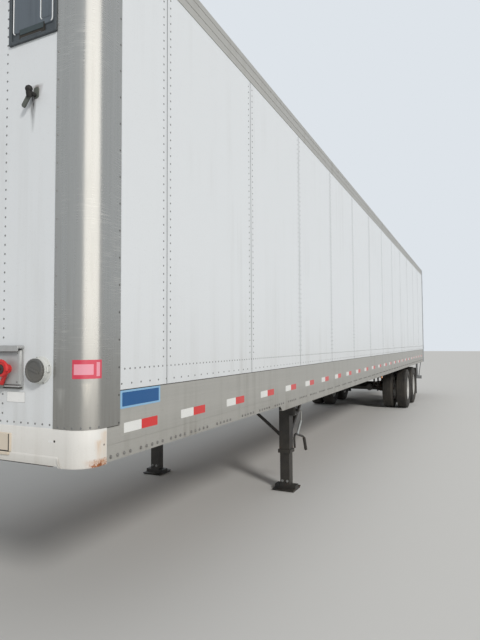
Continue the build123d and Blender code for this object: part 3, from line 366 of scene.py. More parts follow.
def ranged(tree, value, low, high, to_low=0.0, to_high=1.0):
    """The value's run from low to high becomes a run from to_low to to_high, and stops there."""
    inputs = {"Value": value, "From Min": low, "From Max": high, "To Min": to_low, "To Max": to_high}
    return add_node(tree, "MapRange", inputs, clamp=True).outputs["Result"]


def mixed(tree, factor, first, second):
    """Two colours mixed by a factor."""
    made = add_node(tree, "Mix", data_type="RGBA")
    sockets = {socket.identifier: socket for socket in made.inputs}
    for identifier, value in (("Factor_Float", factor), ("A_Color", first), ("B_Color", second)):
        feed(tree, sockets[identifier], value)
    return {socket.identifier: socket for socket in made.outputs}["Result_Color"]


# %% Coordinates, noise and colours
def stretched(tree, stretch=(1, 1, 1)):
    """Object coordinates in metres, each axis multiplied by its part of the stretch."""
    place = add_node(tree, "TexCoord").outputs["Object"]
    return vector_math(tree, "MULTIPLY", place, stretch).outputs[0]


def noise(tree, vector, scale, detail=4.0, rough=0.55):
    """A noise value of about 0.5, at so many features a metre."""
    inputs = {"Vector": vector, "Scale": scale, "Detail": detail, "Roughness": rough}
    return add_node(tree, "TexNoise", inputs).outputs["Fac"]


def paint(red, green, blue):
    """A colour as a picture shows it, 0 to 255, made into the linear values that a shader takes."""
    share = np.array([red, green, blue]) / 255
    linear = np.where(share <= 0.04045, share / 12.92, ((share + 0.055) / 1.055) ** 2.4)
    return (*[float(value) for value in linear], 1.0)


# %% Grime: streaks that rain draws down a wall, patches, and dirt thrown up along a low edge
grime, given, end = start_group("Grime", {
    "Color": (0.8, 0.8, 0.8, 1), "Grime Color": paint(120, 112, 98), "Amount": 0.3, "Streaks": 9.0,
    "Low Edge": 1.0, "Splash Height": 0.5,
})
streak_places = stretched(grime, (1.0, 1.0, 0.045))
streaks = ranged(grime, noise(grime, streak_places, given["Streaks"], 5.0), 0.5, 0.78)
patches = ranged(grime, noise(grime, stretched(grime), 1.1, 3.0), 0.38, 0.7)
specks = ranged(grime, noise(grime, stretched(grime), 85.0, 2.0), 0.6, 0.74)
height = axis_of(grime, stretched(grime), "Z")
above = math(grime, "SUBTRACT", height, given["Low Edge"])
splash = fading(grime, above, given["Splash Height"])
splash = times(grime, math(grime, "POWER", splash, 2.0), ranged(grime, streaks, 0, 1, 0.45, 1.0))
running = times(grime, streaks, patches)
total = math(grime, "ADD", math(grime, "ADD", running, splash), times(grime, specks, 0.25))
mask = times(grime, total, given["Amount"], clamp=True)
end_group(grime, end, Color=mixed(grime, mask, given["Color"], given["Grime Color"]), Mask=mask)

# %% Fine bumps: orange peel in paint, or the grain of a casting
bumps, given, end = start_group(
    "Fine bumps", {"Stretch": (1, 1, 1), "Scale": 200.0, "Strength": 0.1, "Depth": 0.001}, ["Normal"],
)
grain = noise(bumps, stretched(bumps, given["Stretch"]), given["Scale"], 3.0)
lift = add_node(bumps, "Bump", {"Strength": given["Strength"], "Distance": given["Depth"], "Height": grain})
end_group(bumps, end, Normal=lift.outputs["Normal"])

# %% Drawn metal: long fine lines and slow bands that a rolling or pressing mill leaves
drawn, given, end = start_group(
    "Drawn metal",
    {"Color": (0.6, 0.6, 0.6, 1), "Stretch": (0.1, 8, 8), "Lines": 40.0, "Contrast": 0.2, "Roughness": 0.4},
    ["Color", "Roughness"],
)
lines = noise(drawn, stretched(drawn, given["Stretch"]), given["Lines"], 5.0, 0.65)
bands = noise(drawn, stretched(drawn, given["Stretch"]), 1.3, 2.0)
both = math(drawn, "ADD", times(drawn, lines, 0.6), times(drawn, bands, 0.4))
shade = times(drawn, math(drawn, "SUBTRACT", both, 0.5), given["Contrast"])
factor = math(drawn, "ADD", 1.0, times(drawn, shade, 2.0))
toned = add_node(drawn, "VectorMath", {0: given["Color"], 3: factor}, operation="SCALE")
roughness = math(drawn, "ADD", given["Roughness"], shade, clamp=True)
end_group(drawn, end, Color=toned.outputs[0], Roughness=roughness)

# %% Zinc: the crystals of a hot-dipped coat, each a little lighter or darker than its neighbours
zinc, given, end = start_group(
    "Zinc crystals", {"Color": (0.5, 0.5, 0.5, 1), "Cells": 70.0, "Contrast": 0.3}, ["Color", "Roughness"],
)
cells = add_node(
    zinc, "TexVoronoi", {"Vector": stretched(zinc), "Scale": given["Cells"], "Randomness": 1.0},
)
cell = add_node(zinc, "SeparateColor", {0: cells.outputs["Color"]}).outputs[0]
cloud = noise(zinc, stretched(zinc), 3.0)
tone = math(zinc, "ADD", times(zinc, cell, 0.7), times(zinc, cloud, 0.6))
factor = math(zinc, "ADD", 1.0, times(zinc, math(zinc, "SUBTRACT", tone, 0.65), given["Contrast"]))
toned = add_node(zinc, "VectorMath", {0: given["Color"], 3: factor}, operation="SCALE")
end_group(zinc, end, Color=toned.outputs[0], Roughness=ranged(zinc, tone, 0.2, 1.1, 0.38, 0.62))

# %% Rust: blotches that break out where a noise passes a level, more of them near one place
rust, given, end = start_group(
    "Rust", {"Color": (0.5, 0.5, 0.5, 1), "Scale": 14.0, "Spread": 0.2, "Centre": (0, 0, 0), "Reach": 0.1},
)
place = stretched(rust)
blotch = noise(rust, place, given["Scale"], 8.0, 0.7)
away = vector_math(rust, "DISTANCE", place, given["Centre"])
near = fading(rust, away.outputs["Value"], given["Reach"])
level = math(rust, "ADD", times(rust, given["Spread"], 0.5), times(rust, near, 0.42))
mask = ranged(rust, math(rust, "ADD", blotch, level), 0.7, 0.8)
tones = mixed(rust, noise(rust, place, 60.0), paint(96, 48, 22), paint(186, 112, 58))
end_group(rust, end, Color=mixed(rust, mask, given["Color"], tones), Mask=mask)

# %% Dust: the pale film of dried road dirt on dark parts under the floor
dust, given, end = start_group(
    "Road dust", {"Color": (0.05, 0.05, 0.05, 1), "Dust Color": paint(132, 122, 106), "Amount": 0.4},
)
place = stretched(dust)
clouds = ranged(dust, noise(dust, place, 3.5, 6.0, 0.62), 0.36, 0.72)
grit = ranged(dust, noise(dust, place, 120.0, 3.0), 0.42, 0.7)
film = math(dust, "ADD", times(dust, clouds, 0.75), times(dust, grit, 0.35))
mask = times(dust, film, given["Amount"], clamp=True)
end_group(dust, end, Color=mixed(dust, mask, given["Color"], given["Dust Color"]), Mask=mask)

# %% Seams: a thin dark line and a wider faint one at every plate joint
seams, given, end = start_group("Seams", {
    "Color": (0.8, 0.8, 0.8, 1), "Seam Color": paint(84, 86, 88), "First": 7.381, "Pitch": 1.27,
    "Width": 0.004,
})
along_wall = axis_of(seams, stretched(seams), "X")
steps = math(seams, "DIVIDE", math(seams, "SUBTRACT", given["First"], along_wall), given["Pitch"])
away = math(seams, "ABSOLUTE", math(seams, "SUBTRACT", steps, math(seams, "ROUND", steps)))
away = times(seams, away, given["Pitch"])
near = fading(seams, away, given["Width"])
film = fading(seams, away, 0.05)
film = times(seams, film, noise(seams, stretched(seams, (1, 1, 0.1)), 30.0))
mask = math(seams, "ADD", times(seams, near, 1.6), times(seams, film, 0.16), clamp=True)
end_group(seams, end, Color=mixed(seams, mask, given["Color"], given["Seam Color"]), Mask=mask)

# %% Stain: dirt or rust that leaves one point and runs straight down, narrower and fainter as it goes
stain, given, end = start_group("Stain", {
    "Color": (0.8, 0.8, 0.8, 1), "Stain Color": paint(60, 58, 56), "Centre": (0, 0, 0), "Width": 0.01,
    "Length": 0.2, "Amount": 0.8,
})
off = vector_math(stain, "SUBTRACT", stretched(stain), given["Centre"])
flat = vector_math(stain, "MULTIPLY", off.outputs[0], (1, 1, 0))
sideways = add_node(stain, "VectorMath", {0: flat.outputs[0]}, operation="LENGTH").outputs["Value"]
drop = times(stain, axis_of(stain, off.outputs[0], "Z"), -1.0)
fall = math(stain, "DIVIDE", drop, given["Length"])
fade = math(stain, "SUBTRACT", 1.0, fall, clamp=True)
begun = ranged(stain, drop, -0.012, 0.004)
lane_width = times(stain, given["Width"], ranged(stain, fall, 0, 1, 1.2, 0.5))
lane = fading(stain, sideways, lane_width)
torn = ranged(stain, noise(stain, stretched(stain, (1, 1, 0.12)), 160.0, 3.0), 0.3, 0.6, 0.35, 1.0)
mask = times(stain, times(stain, lane, fade), times(stain, begun, torn))
mask = times(stain, times(stain, mask, 1.8), given["Amount"], clamp=True)
end_group(stain, end, Color=mixed(stain, mask, given["Color"], given["Stain Color"]), Mask=mask)

# %% Flush rivets: countersunk heads in an upright row, drawn as dots because nothing of them stands proud
flush, given, end = start_group(
    "Flush rivets", {"Color": (0.6, 0.6, 0.6, 1), "Row X": 7.838, "Pitch": 0.145, "Size": 0.006},
)
place = add_node(flush, "SeparateXYZ", {0: stretched(flush)})
dx = math(flush, "SUBTRACT", place.outputs["X"], given["Row X"])
steps = math(flush, "DIVIDE", place.outputs["Z"], given["Pitch"])
dz = times(flush, math(flush, "SUBTRACT", steps, math(flush, "ROUND", steps)), given["Pitch"])
away = math(flush, "SQRT", math(flush, "ADD", times(flush, dx, dx), times(flush, dz, dz)))
mask = math(flush, "SUBTRACT", 1.3, math(flush, "DIVIDE", away, given["Size"]), clamp=True)
end_group(flush, end, Color=mixed(flush, mask, given["Color"], paint(70, 68, 66)), Mask=mask)

# %% Scratches: short level lines and smudges, in patches, where things have brushed the metal
scratches, given, end = start_group(
    "Scratches", {"Color": (0.6, 0.6, 0.6, 1), "Scratch Color": paint(206, 204, 198), "Amount": 0.6},
)
lines = noise(scratches, stretched(scratches, (5, 5, 110)), 2.0, 3.0)
patches = noise(scratches, stretched(scratches), 2.6, 3.0)
mask = times(scratches, ranged(scratches, lines, 0.54, 0.66), ranged(scratches, patches, 0.5, 0.66))
mask = times(scratches, mask, given["Amount"], clamp=True)
end_group(scratches, end, Color=mixed(scratches, mask, given["Color"], given["Scratch Color"]), Mask=mask)
print("node groups", [group.name for group in bpy.data.node_groups])

# %% [markdown]
# A finish is one material. It starts from a colour, passes it through the groups it needs, and lets
# their masks raise the roughness, because dirt and rust are duller than paint or metal. The shader
# stays in the material, and a number that is the same all over is set on the shader itself.


# %% Layers of a finish
def dirt(amount, streaks, color=(120, 112, 98), low=1.0, splash=0.5):
    """Grime: how much, its streaks a metre, its colour, the low edge, and how far splash rises from it."""
    inputs = {"Amount": amount, "Streaks": streaks, "Grime Color": paint(*color), "Low Edge": low}
    return grime, {**inputs, "Splash Height": splash}


def road_film(amount, color=(132, 122, 106)):
    """Dried road dust: how much, and its colour."""
    return dust, {"Amount": amount, "Dust Color": paint(*color)}


def rusty(scale, spread, centre=(0, 0, 0), reach=0.001):
    """Rust: its blotches a metre, how far they spread, and a place with a reach where more of them crowd."""
    return rust, {"Scale": scale, "Spread": spread, "Centre": centre, "Reach": reach}


def stained(color, centre, width, length, amount):
    """A stain: its colour, where it starts, how wide and long it is, and how strong."""
    inputs = {"Stain Color": paint(*color), "Centre": centre, "Width": width, "Length": length}
    return stain, {**inputs, "Amount": amount}


def crystals(cells, contrast):
    """Zinc: its crystals a metre, and how much they differ."""
    return zinc, {"Cells": cells, "Contrast": contrast}


def mill_lines(stretch, lines, contrast, rough):
    """Drawn metal: the way its lines run, how many there are, how much they show, and how rough they are."""
    return drawn, {"Stretch": stretch, "Lines": lines, "Contrast": contrast, "Roughness": rough}


# %% Build a finish from its layers
def new_material(name, values):
    """A material, its tree and its shader, with the values that are the same all over set on the shader."""
    material = bpy.data.materials.new(name)
    material.use_nodes = True
    shader = material.node_tree.nodes["Principled BSDF"]
    for key, value in values.items():
        shader.inputs[key].default_value = value
    return material, material.node_tree, shader


def finish(name, color, rough=0.5, metal=0.0, base=None, layers=(), bump=None, coat=0.0, dull=0.9):
    """A base or layer is a group with its inputs; a bump is scale, strength, depth and perhaps a stretch."""
    material, tree, shader = new_material(
        name, {"Metallic": metal, "Roughness": rough, "Coat Weight": coat},
    )
    color_now, rough_now = paint(*color), rough
    if base:
        group, inputs = base
        made = add_node(tree, "Group", {**inputs, "Color": color_now}, node_tree=group)
        color_now, rough_now = made.outputs["Color"], made.outputs["Roughness"]
    for group, inputs in layers:
        made = add_node(tree, "Group", {**inputs, "Color": color_now}, node_tree=group)
        color_now, mask = made.outputs["Color"], made.outputs["Mask"]
        clean = math(tree, "SUBTRACT", 1.0, mask)
        rough_now = math(tree, "ADD", times(tree, clean, rough_now), times(tree, mask, dull))
        if group is rust and metal > 0:
            tree.links.new(times(tree, clean, metal), shader.inputs["Metallic"])
    feed(tree, shader.inputs["Base Color"], color_now)
    feed(tree, shader.inputs["Roughness"], rough_now)
    if bump:
        inputs = dict(zip(("Scale", "Strength", "Depth", "Stretch"), bump))
        made = add_node(tree, "Group", inputs, node_tree=bumps)
        tree.links.new(made.outputs["Normal"], shader.inputs["Normal"])
    return material


def dress(material, *nodes):
    """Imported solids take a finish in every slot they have."""
    for name in nodes:
        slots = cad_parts[name].data.materials
        slots.clear()
        slots.append(material)


# %% [markdown]
# The walls are pre-painted white plate. They are nearly clean, with faint rain streaks, a band of road
# film along the bottom and the shallow ripple of a thin skin on a stiff core, which shows in the sheen.

# %% White wall plate and white doors
wall_white = finish(
    "white wall plate", (226, 229, 231), rough=0.38, coat=0.15,
    layers=[dirt(0.26, 7.0, (150, 146, 136), low=1.45, splash=0.9), (seams, {})],
    bump=(2.2, 0.16, 0.006, (1.0, 1.0, 0.55)), dull=0.62,
)
front_white = finish(
    "white front plate", (226, 229, 231), rough=0.38, coat=0.15,
    layers=[
        dirt(0.3, 7.0, (150, 146, 136), low=1.25, splash=0.7),
        stained((52, 50, 50), (8.073, 0.905, 3.05), 0.026, 0.22, 1.0),
        stained((120, 106, 100), (8.073, 0.934, 3.08), 0.042, 0.09, 0.7),
        stained((150, 140, 128), (8.073, 0.6, 1.48), 0.26, 0.16, 0.25),
    ],
    bump=(2.2, 0.16, 0.006, (1.0, 1.0, 0.55)), dull=0.62,
)
door_white = finish(
    "white door plate", (222, 225, 227), rough=0.4, coat=0.1,
    layers=[dirt(0.42, 11.0, (128, 120, 106), low=1.25, splash=1.4)],
    bump=(2.6, 0.14, 0.005, (1.0, 1.0, 0.6)), dull=0.7,
)
dress(wall_white, "side_wall_left", "side_wall_right")
dress(front_white, "front_wall")
dress(door_white, "door_left", "door_right")

# %% [markdown]
# The corners and rails are plain aluminium, drawn along their length: upright lines on the corners,
# lengthwise lines on the rails. Years outside have dulled them, so they are rough and a little warm.

# %% Aluminium corners and rails
corner_metal = finish(
    "weathered corner aluminium", (168, 167, 163), rough=0.3, metal=0.92,
    base=mill_lines((6, 6, 0.12), 9.0, 0.16, 0.27),
    layers=[
        dirt(0.4, 16.0, (122, 116, 106), low=1.29, splash=0.6), (scratches, {"Amount": 0.45}), (flush, {}),
        stained((196, 194, 188), (8.077, 1.125, 1.49), 0.03, 0.1, 0.45),
        stained((214, 210, 200), (8.04, 1.2585, 1.52), 0.026, 0.13, 0.4),
    ],
    bump=(6.0, 0.06, 0.002, (1, 1, 0.35)), dull=0.62,
)
rail_metal = finish(
    "mill aluminium rail", (182, 180, 174), rough=0.48, metal=0.55,
    base=mill_lines((0.1, 5, 7), 11.0, 0.16, 0.46),
    layers=[dirt(0.36, 13.0, (112, 104, 90), low=1.06, splash=0.35)], bump=(12.0, 0.1, 0.002, (0.3, 1, 1)),
    dull=0.8,
)
dress(corner_metal, "front_corners")
dress(rail_metal, "top_rails", "front_top_rail", "bottom_rails")

# %% [markdown]
# The parts that nobody polishes follow: the roof sheet, zinc-coated bows and rear frame, the hardwood
# floor, the black underframe with its film of dust, and rubber. Springs get rust over dark steel.

# %% Finishes of the roof, frame, floor and underbody
roof_sheet = finish(
    "roof sheet", (206, 207, 206), rough=0.45, metal=0.2,
    layers=[dirt(0.5, 3.0, (122, 116, 104), low=-9.0, splash=0.1)], bump=(3.0, 0.15, 0.006),
)
frame_zinc = finish(
    "zinc-coated frame", (170, 173, 175), rough=0.5, metal=0.7, base=crystals(70.0, 0.34),
    layers=[dirt(0.42, 12.0, (104, 96, 84), low=0.6, splash=1.2)], bump=(140.0, 0.08, 0.001), dull=0.8,
)
bow_zinc = finish(
    "zinc-coated bow", (176, 178, 180), rough=0.45, metal=0.8, base=crystals(90.0, 0.25),
    bump=(160.0, 0.06, 0.001),
)
under_black = finish(
    "black undercoat", (40, 39, 38), rough=0.62, layers=[road_film(0.24), rusty(9.0, 0.16)],
    bump=(90.0, 0.3, 0.002),
)
gear_black = finish(
    "black gear paint", (30, 30, 31), rough=0.5, layers=[road_film(0.26), rusty(11.0, 0.12)],
    bump=(120.0, 0.22, 0.0015),
)
spring_steel = finish(
    "rusty spring steel", (52, 48, 45), rough=0.6, metal=0.4, layers=[rusty(16.0, 0.34), road_film(0.3)],
    bump=(60.0, 0.3, 0.002, (0.2, 1, 1)),
)
rubber_black = finish(
    "black rubber", (36, 36, 37), rough=0.72, layers=[road_film(0.26, (118, 110, 98))],
    bump=(70.0, 0.25, 0.0015),
)
tyre_rubber = finish(
    "tyre rubber", (40, 40, 40), rough=0.76, layers=[road_film(0.28, (126, 116, 101))],
    bump=(110.0, 0.3, 0.0012),
)
wheel_white = finish(
    "white wheel enamel", (214, 214, 211), rough=0.42, coat=0.1,
    layers=[road_film(0.5, (110, 98, 82)), rusty(22.0, 0.1)], bump=(60.0, 0.12, 0.001),
)
dress(roof_sheet, "roof")
dress(bow_zinc, "roof_bows")
dress(frame_zinc, "rear_posts", "rear_header", "rear_sill", "hinge_lugs", "rod_keepers", "underride_guard")
dress(under_black, "crossmembers", "coupler", "body_rails")
dress(
    gear_black, "landing_legs", "landing_feet", "landing_braces", "landing_drive", "air_tank",
    "slider_frame", "equalizers", "torque_arms", "axles", "brake_chambers", "flap_bars",
)
dress(spring_steel, "leaf_springs")
dress(rubber_black, "dock_bumpers", "mud_flaps")

# %% [markdown]
# The floor is laminated hardwood: narrow strips glued side by side, each with its own tone, worn pale
# where fork trucks run. Voronoi cells stretched along the floor give each strip its own random tone,
# and a noise stretched the same way gives the grain.

# %% Floor wood
floor_wood, tree, shader = new_material("laminated floor wood", {})
strips = add_node(tree, "TexVoronoi", {"Vector": stretched(tree, (1.2, 28.0, 0.01)), "Scale": 1.0})
strip_tone = add_node(tree, "SeparateColor", {0: strips.outputs["Color"]}).outputs[0]
wood_grain = noise(tree, stretched(tree, (1.5, 60.0, 60.0)), 3.0, 6.0)
wood = mixed(tree, strip_tone, paint(148, 112, 74), paint(184, 146, 100))
wood = mixed(tree, ranged(tree, wood_grain, 0.35, 0.75, 0.0, 0.55), wood, paint(98, 70, 44))
scuffs = ranged(tree, noise(tree, stretched(tree, (0.4, 2.5, 1.0)), 2.0, 5.0), 0.5, 0.8, 0.0, 0.5)
tree.links.new(mixed(tree, scuffs, wood, paint(120, 110, 98)), shader.inputs["Base Color"])
tree.links.new(ranged(tree, wood_grain, 0.3, 0.8, 0.5, 0.78), shader.inputs["Roughness"])
lift = add_node(tree, "Bump", {"Strength": 0.25, "Distance": 0.001, "Height": wood_grain})
tree.links.new(lift.outputs["Normal"], shader.inputs["Normal"])
dress(floor_wood, "floor")
print(len(bpy.data.materials), "finishes so far")

# %% [markdown]
# Rivets hold the skin to the posts and rails. A button head is a shallow dome, and eight sides and one
# middle ring are enough at its size, because there are thousands. Joints have two upright rows, 75 mm
# apart; the bottom edge has a close row over a wide one. Their heads have lost their paint and hold
# dirt, so they read as grey dots on the white.

# %% Rivets of the side walls
rivet_metal = finish(
    "rivet heads", (128, 129, 128), rough=0.5, metal=0.4, layers=[dirt(0.7, 30.0, (80, 76, 70))],
    bump=(400.0, 0.1, 0.0005),
)
rail_rivet_metal = finish(
    "rail rivet heads", (150, 149, 146), rough=0.45, metal=0.6, layers=[dirt(0.7, 30.0, (84, 78, 70))],
    bump=(400.0, 0.1, 0.0005),
)
rivet_rise = 0.0026


def button_head(radius, rise, sides=8):
    """A dome: full radius at the skin, four fifths of it at two thirds of the rise, and a point on top."""
    return turned([(0, 0), (0, radius), (rise * 0.66, radius * 0.78), (rise, 0)], sides)


rivet = button_head(0.0058, rivet_rise)
joint_x = front_x - joint_stations
joint_row_half, rivet_pitch, close_pitch, wide_pitch = 0.0375, 0.05, 0.045, 0.085
row_x = np.concatenate([joint_x - joint_row_half, joint_x + joint_row_half])
joint_row_z = np.arange(panel_low_z + 0.165, top_rail_low_z - 0.02, rivet_pitch)
rear_frame_x = rear_x + rear_frame_depth
foot_ends = rear_frame_x + 0.03, front_x - 0.26
for side, sign in both_sides:
    face_y = [sign * plate_face_y]
    places = np.concatenate([
        every(row_x, face_y, joint_row_z),
        every(np.arange(*foot_ends, close_pitch), face_y, [panel_low_z + 0.11]),
        every(np.arange(*foot_ends, wide_pitch), face_y, [panel_low_z + 0.031]),
        every([foot_ends[0]], face_y, joint_row_z),
    ])
    heads = scatter(rivet, places, (0, sign, 0), upward)
    make_piece(f"wall_rivets_{side}", [(heads, rivet_metal)], "trailer")

# %% [markdown]
# The front wall has a row of rivets down each of its four posts and one along its foot. The rounded
# corners are riveted down the front flange and round the lower edge, where the row follows the bend.
# The side flange is the widest part of the trailer, so its rivets are flush and come with the finish.

# %% Rivets of the front wall and the corners
post_y = np.array([-0.7125, -0.2375, 0.2375, 0.7125])
front_row_z = np.arange(corner_low_z + 0.06, top_rail_low_z - 0.02, rivet_pitch)
front_foot_y = np.arange(-1.05, 1.051, rivet_pitch)
front_places = np.concatenate([
    every([plate_face_x], post_y, front_row_z),
    every([plate_face_x], front_foot_y, [corner_low_z + 0.018]),
])
heads = scatter(rivet, front_places, ahead, upward)
make_piece("front_wall_rivets", [(heads, rivet_metal)], "trailer")


# %% Rows round the corners
def round_corner(start_y, end_station, sign, step=0.008):
    """Places and outward directions round a corner: the front flat, a quarter circle, the side flat."""
    turn_x, turn_y = front_x - corner_radius, half_width - corner_radius
    radius = corner_radius
    front_flat = np.arange(start_y, turn_y, step)
    arc = np.linspace(0, np.pi / 2, 17)
    side_flat = np.arange(corner_radius + step, end_station + step / 2, step)
    x = np.concatenate(
        [np.full(len(front_flat), turn_x + radius), turn_x + radius * np.cos(arc), front_x - side_flat],
    )
    y = np.concatenate(
        [front_flat, turn_y + radius * np.sin(arc), np.full(len(side_flat), turn_y + radius)],
    )
    out = np.concatenate([
        np.tile([1.0, 0.0], (len(front_flat), 1)), np.stack([np.cos(arc), np.sin(arc)], -1),
        np.tile([0.0, 1.0], (len(side_flat), 1)),
    ])
    places = np.stack([x, sign * y, np.zeros(len(x))], -1)
    outs = np.stack([out[:, 0], sign * out[:, 1], np.zeros(len(x))], -1)
    return places, outs


def along(path, spacing):
    """Places at equal spacing along a path, and how far along the path each one lies."""
    lengths = np.concatenate([[0], np.cumsum(np.linalg.norm(np.diff(path, axis=0), axis=1))])
    wanted = np.arange(spacing / 2, lengths[-1], spacing)
    return np.stack([np.interp(wanted, lengths, path[:, axis]) for axis in range(3)], -1), wanted, lengths


corner_flange_y = half_width - 0.221
corner_heads, foot_heads = [], []
flange_z = np.arange(corner_low_z + 0.045, top_rail_low_z - 0.01, 0.145)
for sign in (1, -1):
    path, outs = round_corner(corner_flange_y + 0.01, 0.243, sign)
    foot_places, wanted, lengths = along(path, 0.045)
    foot_outs = np.stack([np.interp(wanted, lengths, outs[:, axis]) for axis in range(3)], -1)
    foot_places[:, 2] = corner_low_z + 0.01
    inside = np.abs(foot_places[:, 1]) + rivet_rise * np.abs(foot_outs[:, 1]) < half_width - 0.0002
    foot_heads.append(scatter(rivet, foot_places[inside], foot_outs[inside], upward))
    front_flange = every([front_x], [sign * (corner_flange_y + 0.012)], flange_z)
    corner_heads.append(scatter(rivet, front_flange, ahead, upward))
corner_parts = [(corner_heads, rail_rivet_metal), (foot_heads, rivet_metal)]
make_piece("corner_rivets", corner_parts, "trailer")

# %% [markdown]
# The rails carry their own rows: small rivets along the top rail's two edges, and larger bolt heads
# low on the bottom rail, in fives, where each crossmember's end plate is fixed behind it.

# %% Rail rivets and bolts
rail_rows_x = np.arange(rear_frame_x + 0.05, front_x - corner_radius, 0.1)
groove_z = [4.002, 4.067]
groove_rivet = button_head(0.0048, 0.0018)
rail_heads = []
bolt = turned([(0, 0), (0, 0.0105), (0.0022, 0.0105), (0.0024, 0.0078), (0.006, 0.0062), (0.0074, 0)], 8)
group_starts = np.concatenate(
    [[0.187, 0.443, 0.749, 0.992, 1.354, 1.786, 2.139], np.arange(2.5, 15.8, 0.36)],
)
bolt_stations = (group_starts[:, None] + 0.054 * np.arange(5)).ravel()
for low, high in ((0.36, 0.44), (0.92, 0.98)):
    bolt_stations = bolt_stations[(bolt_stations < low) | (bolt_stations > high)]
bolt_x = front_x - bolt_stations
bolt_x = bolt_x[bolt_x > rear_frame_x + 0.02]
bolt_heads = []
for sign in (1, -1):
    groove_places = every(rail_rows_x, [sign * (half_width - 0.002)], groove_z)
    rail_heads.append(scatter(groove_rivet, groove_places, (0, sign, 0), upward))
    bolt_heads.append(scatter(bolt, every(bolt_x, [sign * rail_face_y], [1.138]), (0, sign, 0), upward))
front_top_y = np.arange(-1.1, 1.11, 0.1)
front_groove_places = every([front_x - 0.002], front_top_y, groove_z)
rail_heads.append(scatter(groove_rivet, front_groove_places, ahead, upward))
make_piece("top_rail_rivets", [(rail_heads, rail_rivet_metal)], "trailer")
make_piece("bottom_rail_bolts", [(bolt_heads, rail_rivet_metal)], "trailer")

# %% [markdown]
# The sides and the rear carry strips of white and red reflecting tape, 54 mm high. Its face is a
# honeycomb of tiny prisms under clear film, so the colour is bright and the cell walls are paler. The
# strips are thin eased plates, laid just off the metal.


# %% Reflecting tape
def tape_finish(name, color, wall_color):
    """A colour, with a paler line wherever two honeycomb cells meet, under a glossy film."""
    material, tree, shader = new_material(name, {"Roughness": 0.28, "Coat Weight": 0.5})
    cells = add_node(
        tree, "TexVoronoi", {"Vector": stretched(tree), "Scale": 230.0, "Randomness": 0.25},
        feature="DISTANCE_TO_EDGE",
    )
    wall = ranged(tree, cells.outputs["Distance"], 0.03, 0.1, 0.55, 0.0)
    toned = mixed(tree, wall, paint(*color), paint(*wall_color))
    inputs = {"Color": toned, "Grime Color": paint(120, 112, 100), "Amount": 0.15}
    made = add_node(tree, "Group", inputs, node_tree=grime)
    tree.links.new(made.outputs["Color"], shader.inputs["Base Color"])
    return material


tape_white = tape_finish("white reflecting tape", (236, 236, 232), (205, 207, 206))
tape_red = tape_finish("red reflecting tape", (214, 22, 24), (220, 52, 46))
tape_length = 0.157
tape_height = 0.054
tape_strip = plate((tape_length - 0.002, tape_height, 0.003, 2), (0.0007, 0.0003))
tape_z = 1.269
tape_stations = np.concatenate([[0.292, 0.865, 1.509], np.arange(2.1625, 15.5, 0.6235)])
tape_parts = {"white": [], "red": []}
for sign in (1, -1):
    for color, shift in (("white", 0.5), ("red", 1.5)):
        middle_x = front_x - tape_stations - shift * tape_length
        places = every(middle_x, [sign * rail_face_y], [tape_z])
        tape_parts[color].append(scatter(tape_strip, places, (0, sign, 0), upward))
for color, start in (("white", 0), ("red", 1)):
    row_y = (np.arange(start, 14, 2) - 6.5) * tape_length
    tape_parts[color].append(on_rear(tape_strip, row_y, [1.1015]))
    tape_parts[color].append(on_rear(tape_strip, row_y, [0.55], rear_x + 0.04))
tape_parts["white"].append(on_rear(tape_strip, [-1.215, 1.215], [4.03]))
tape_parts["white"].append(on_rear(tape_strip, [-1.2655, 1.2655], [3.925], up=road_side))
make_piece("tape_white", [(tape_parts["white"], tape_white)], "trailer")
make_piece("tape_red", [(tape_parts["red"], tape_red)], "trailer")

# %% [markdown]
# Two plates show on the photographed side and both are left blank here: a red one that wraps round the
# corner, and a blue one with a pale border on the bottom rail. The red one is a thin section carried
# along the corner's own outline, so it bends exactly as the metal under it does.

# %% Blank plates
red_enamel = finish(
    "red plate enamel", (208, 58, 82), rough=0.35, coat=0.3, layers=[dirt(0.3, 24.0, (226, 176, 176))],
    bump=(200.0, 0.05, 0.0005),
)
red_border = finish(
    "pale plate field", (232, 158, 172), rough=0.35, layers=[dirt(0.2, 24.0)], bump=(200.0, 0.05, 0.0005),
)
blue_enamel = finish(
    "blue plate enamel", (10, 84, 142), rough=0.32, coat=0.1, layers=[dirt(0.18, 20.0, (90, 130, 165))],
    bump=(200.0, 0.05, 0.0005),
)
blue_border = finish(
    "pale blue plate border", (140, 186, 220), rough=0.32, coat=0.2, layers=[dirt(0.2, 20.0)],
    bump=(200.0, 0.05, 0.0005),
)


def corner_plate(low_turn, high_turn, low_z, high_z, off, thick, steps=15):
    """A thin upright strip carried round the bend, between two angles of the quarter circle."""
    turn = np.radians(np.linspace(low_turn, high_turn, steps))
    outs = np.stack([np.cos(turn), np.sin(turn), 0 * turn], -1)
    path = np.array([front_x - corner_radius, half_width - corner_radius, 0.0]) + corner_radius * outs
    up = np.tile(upward, (steps, 1))
    section = np.array([(off, low_z), (off + thick, low_z), (off + thick, high_z), (off, high_z)])
    return carried(path, outs, up, section)


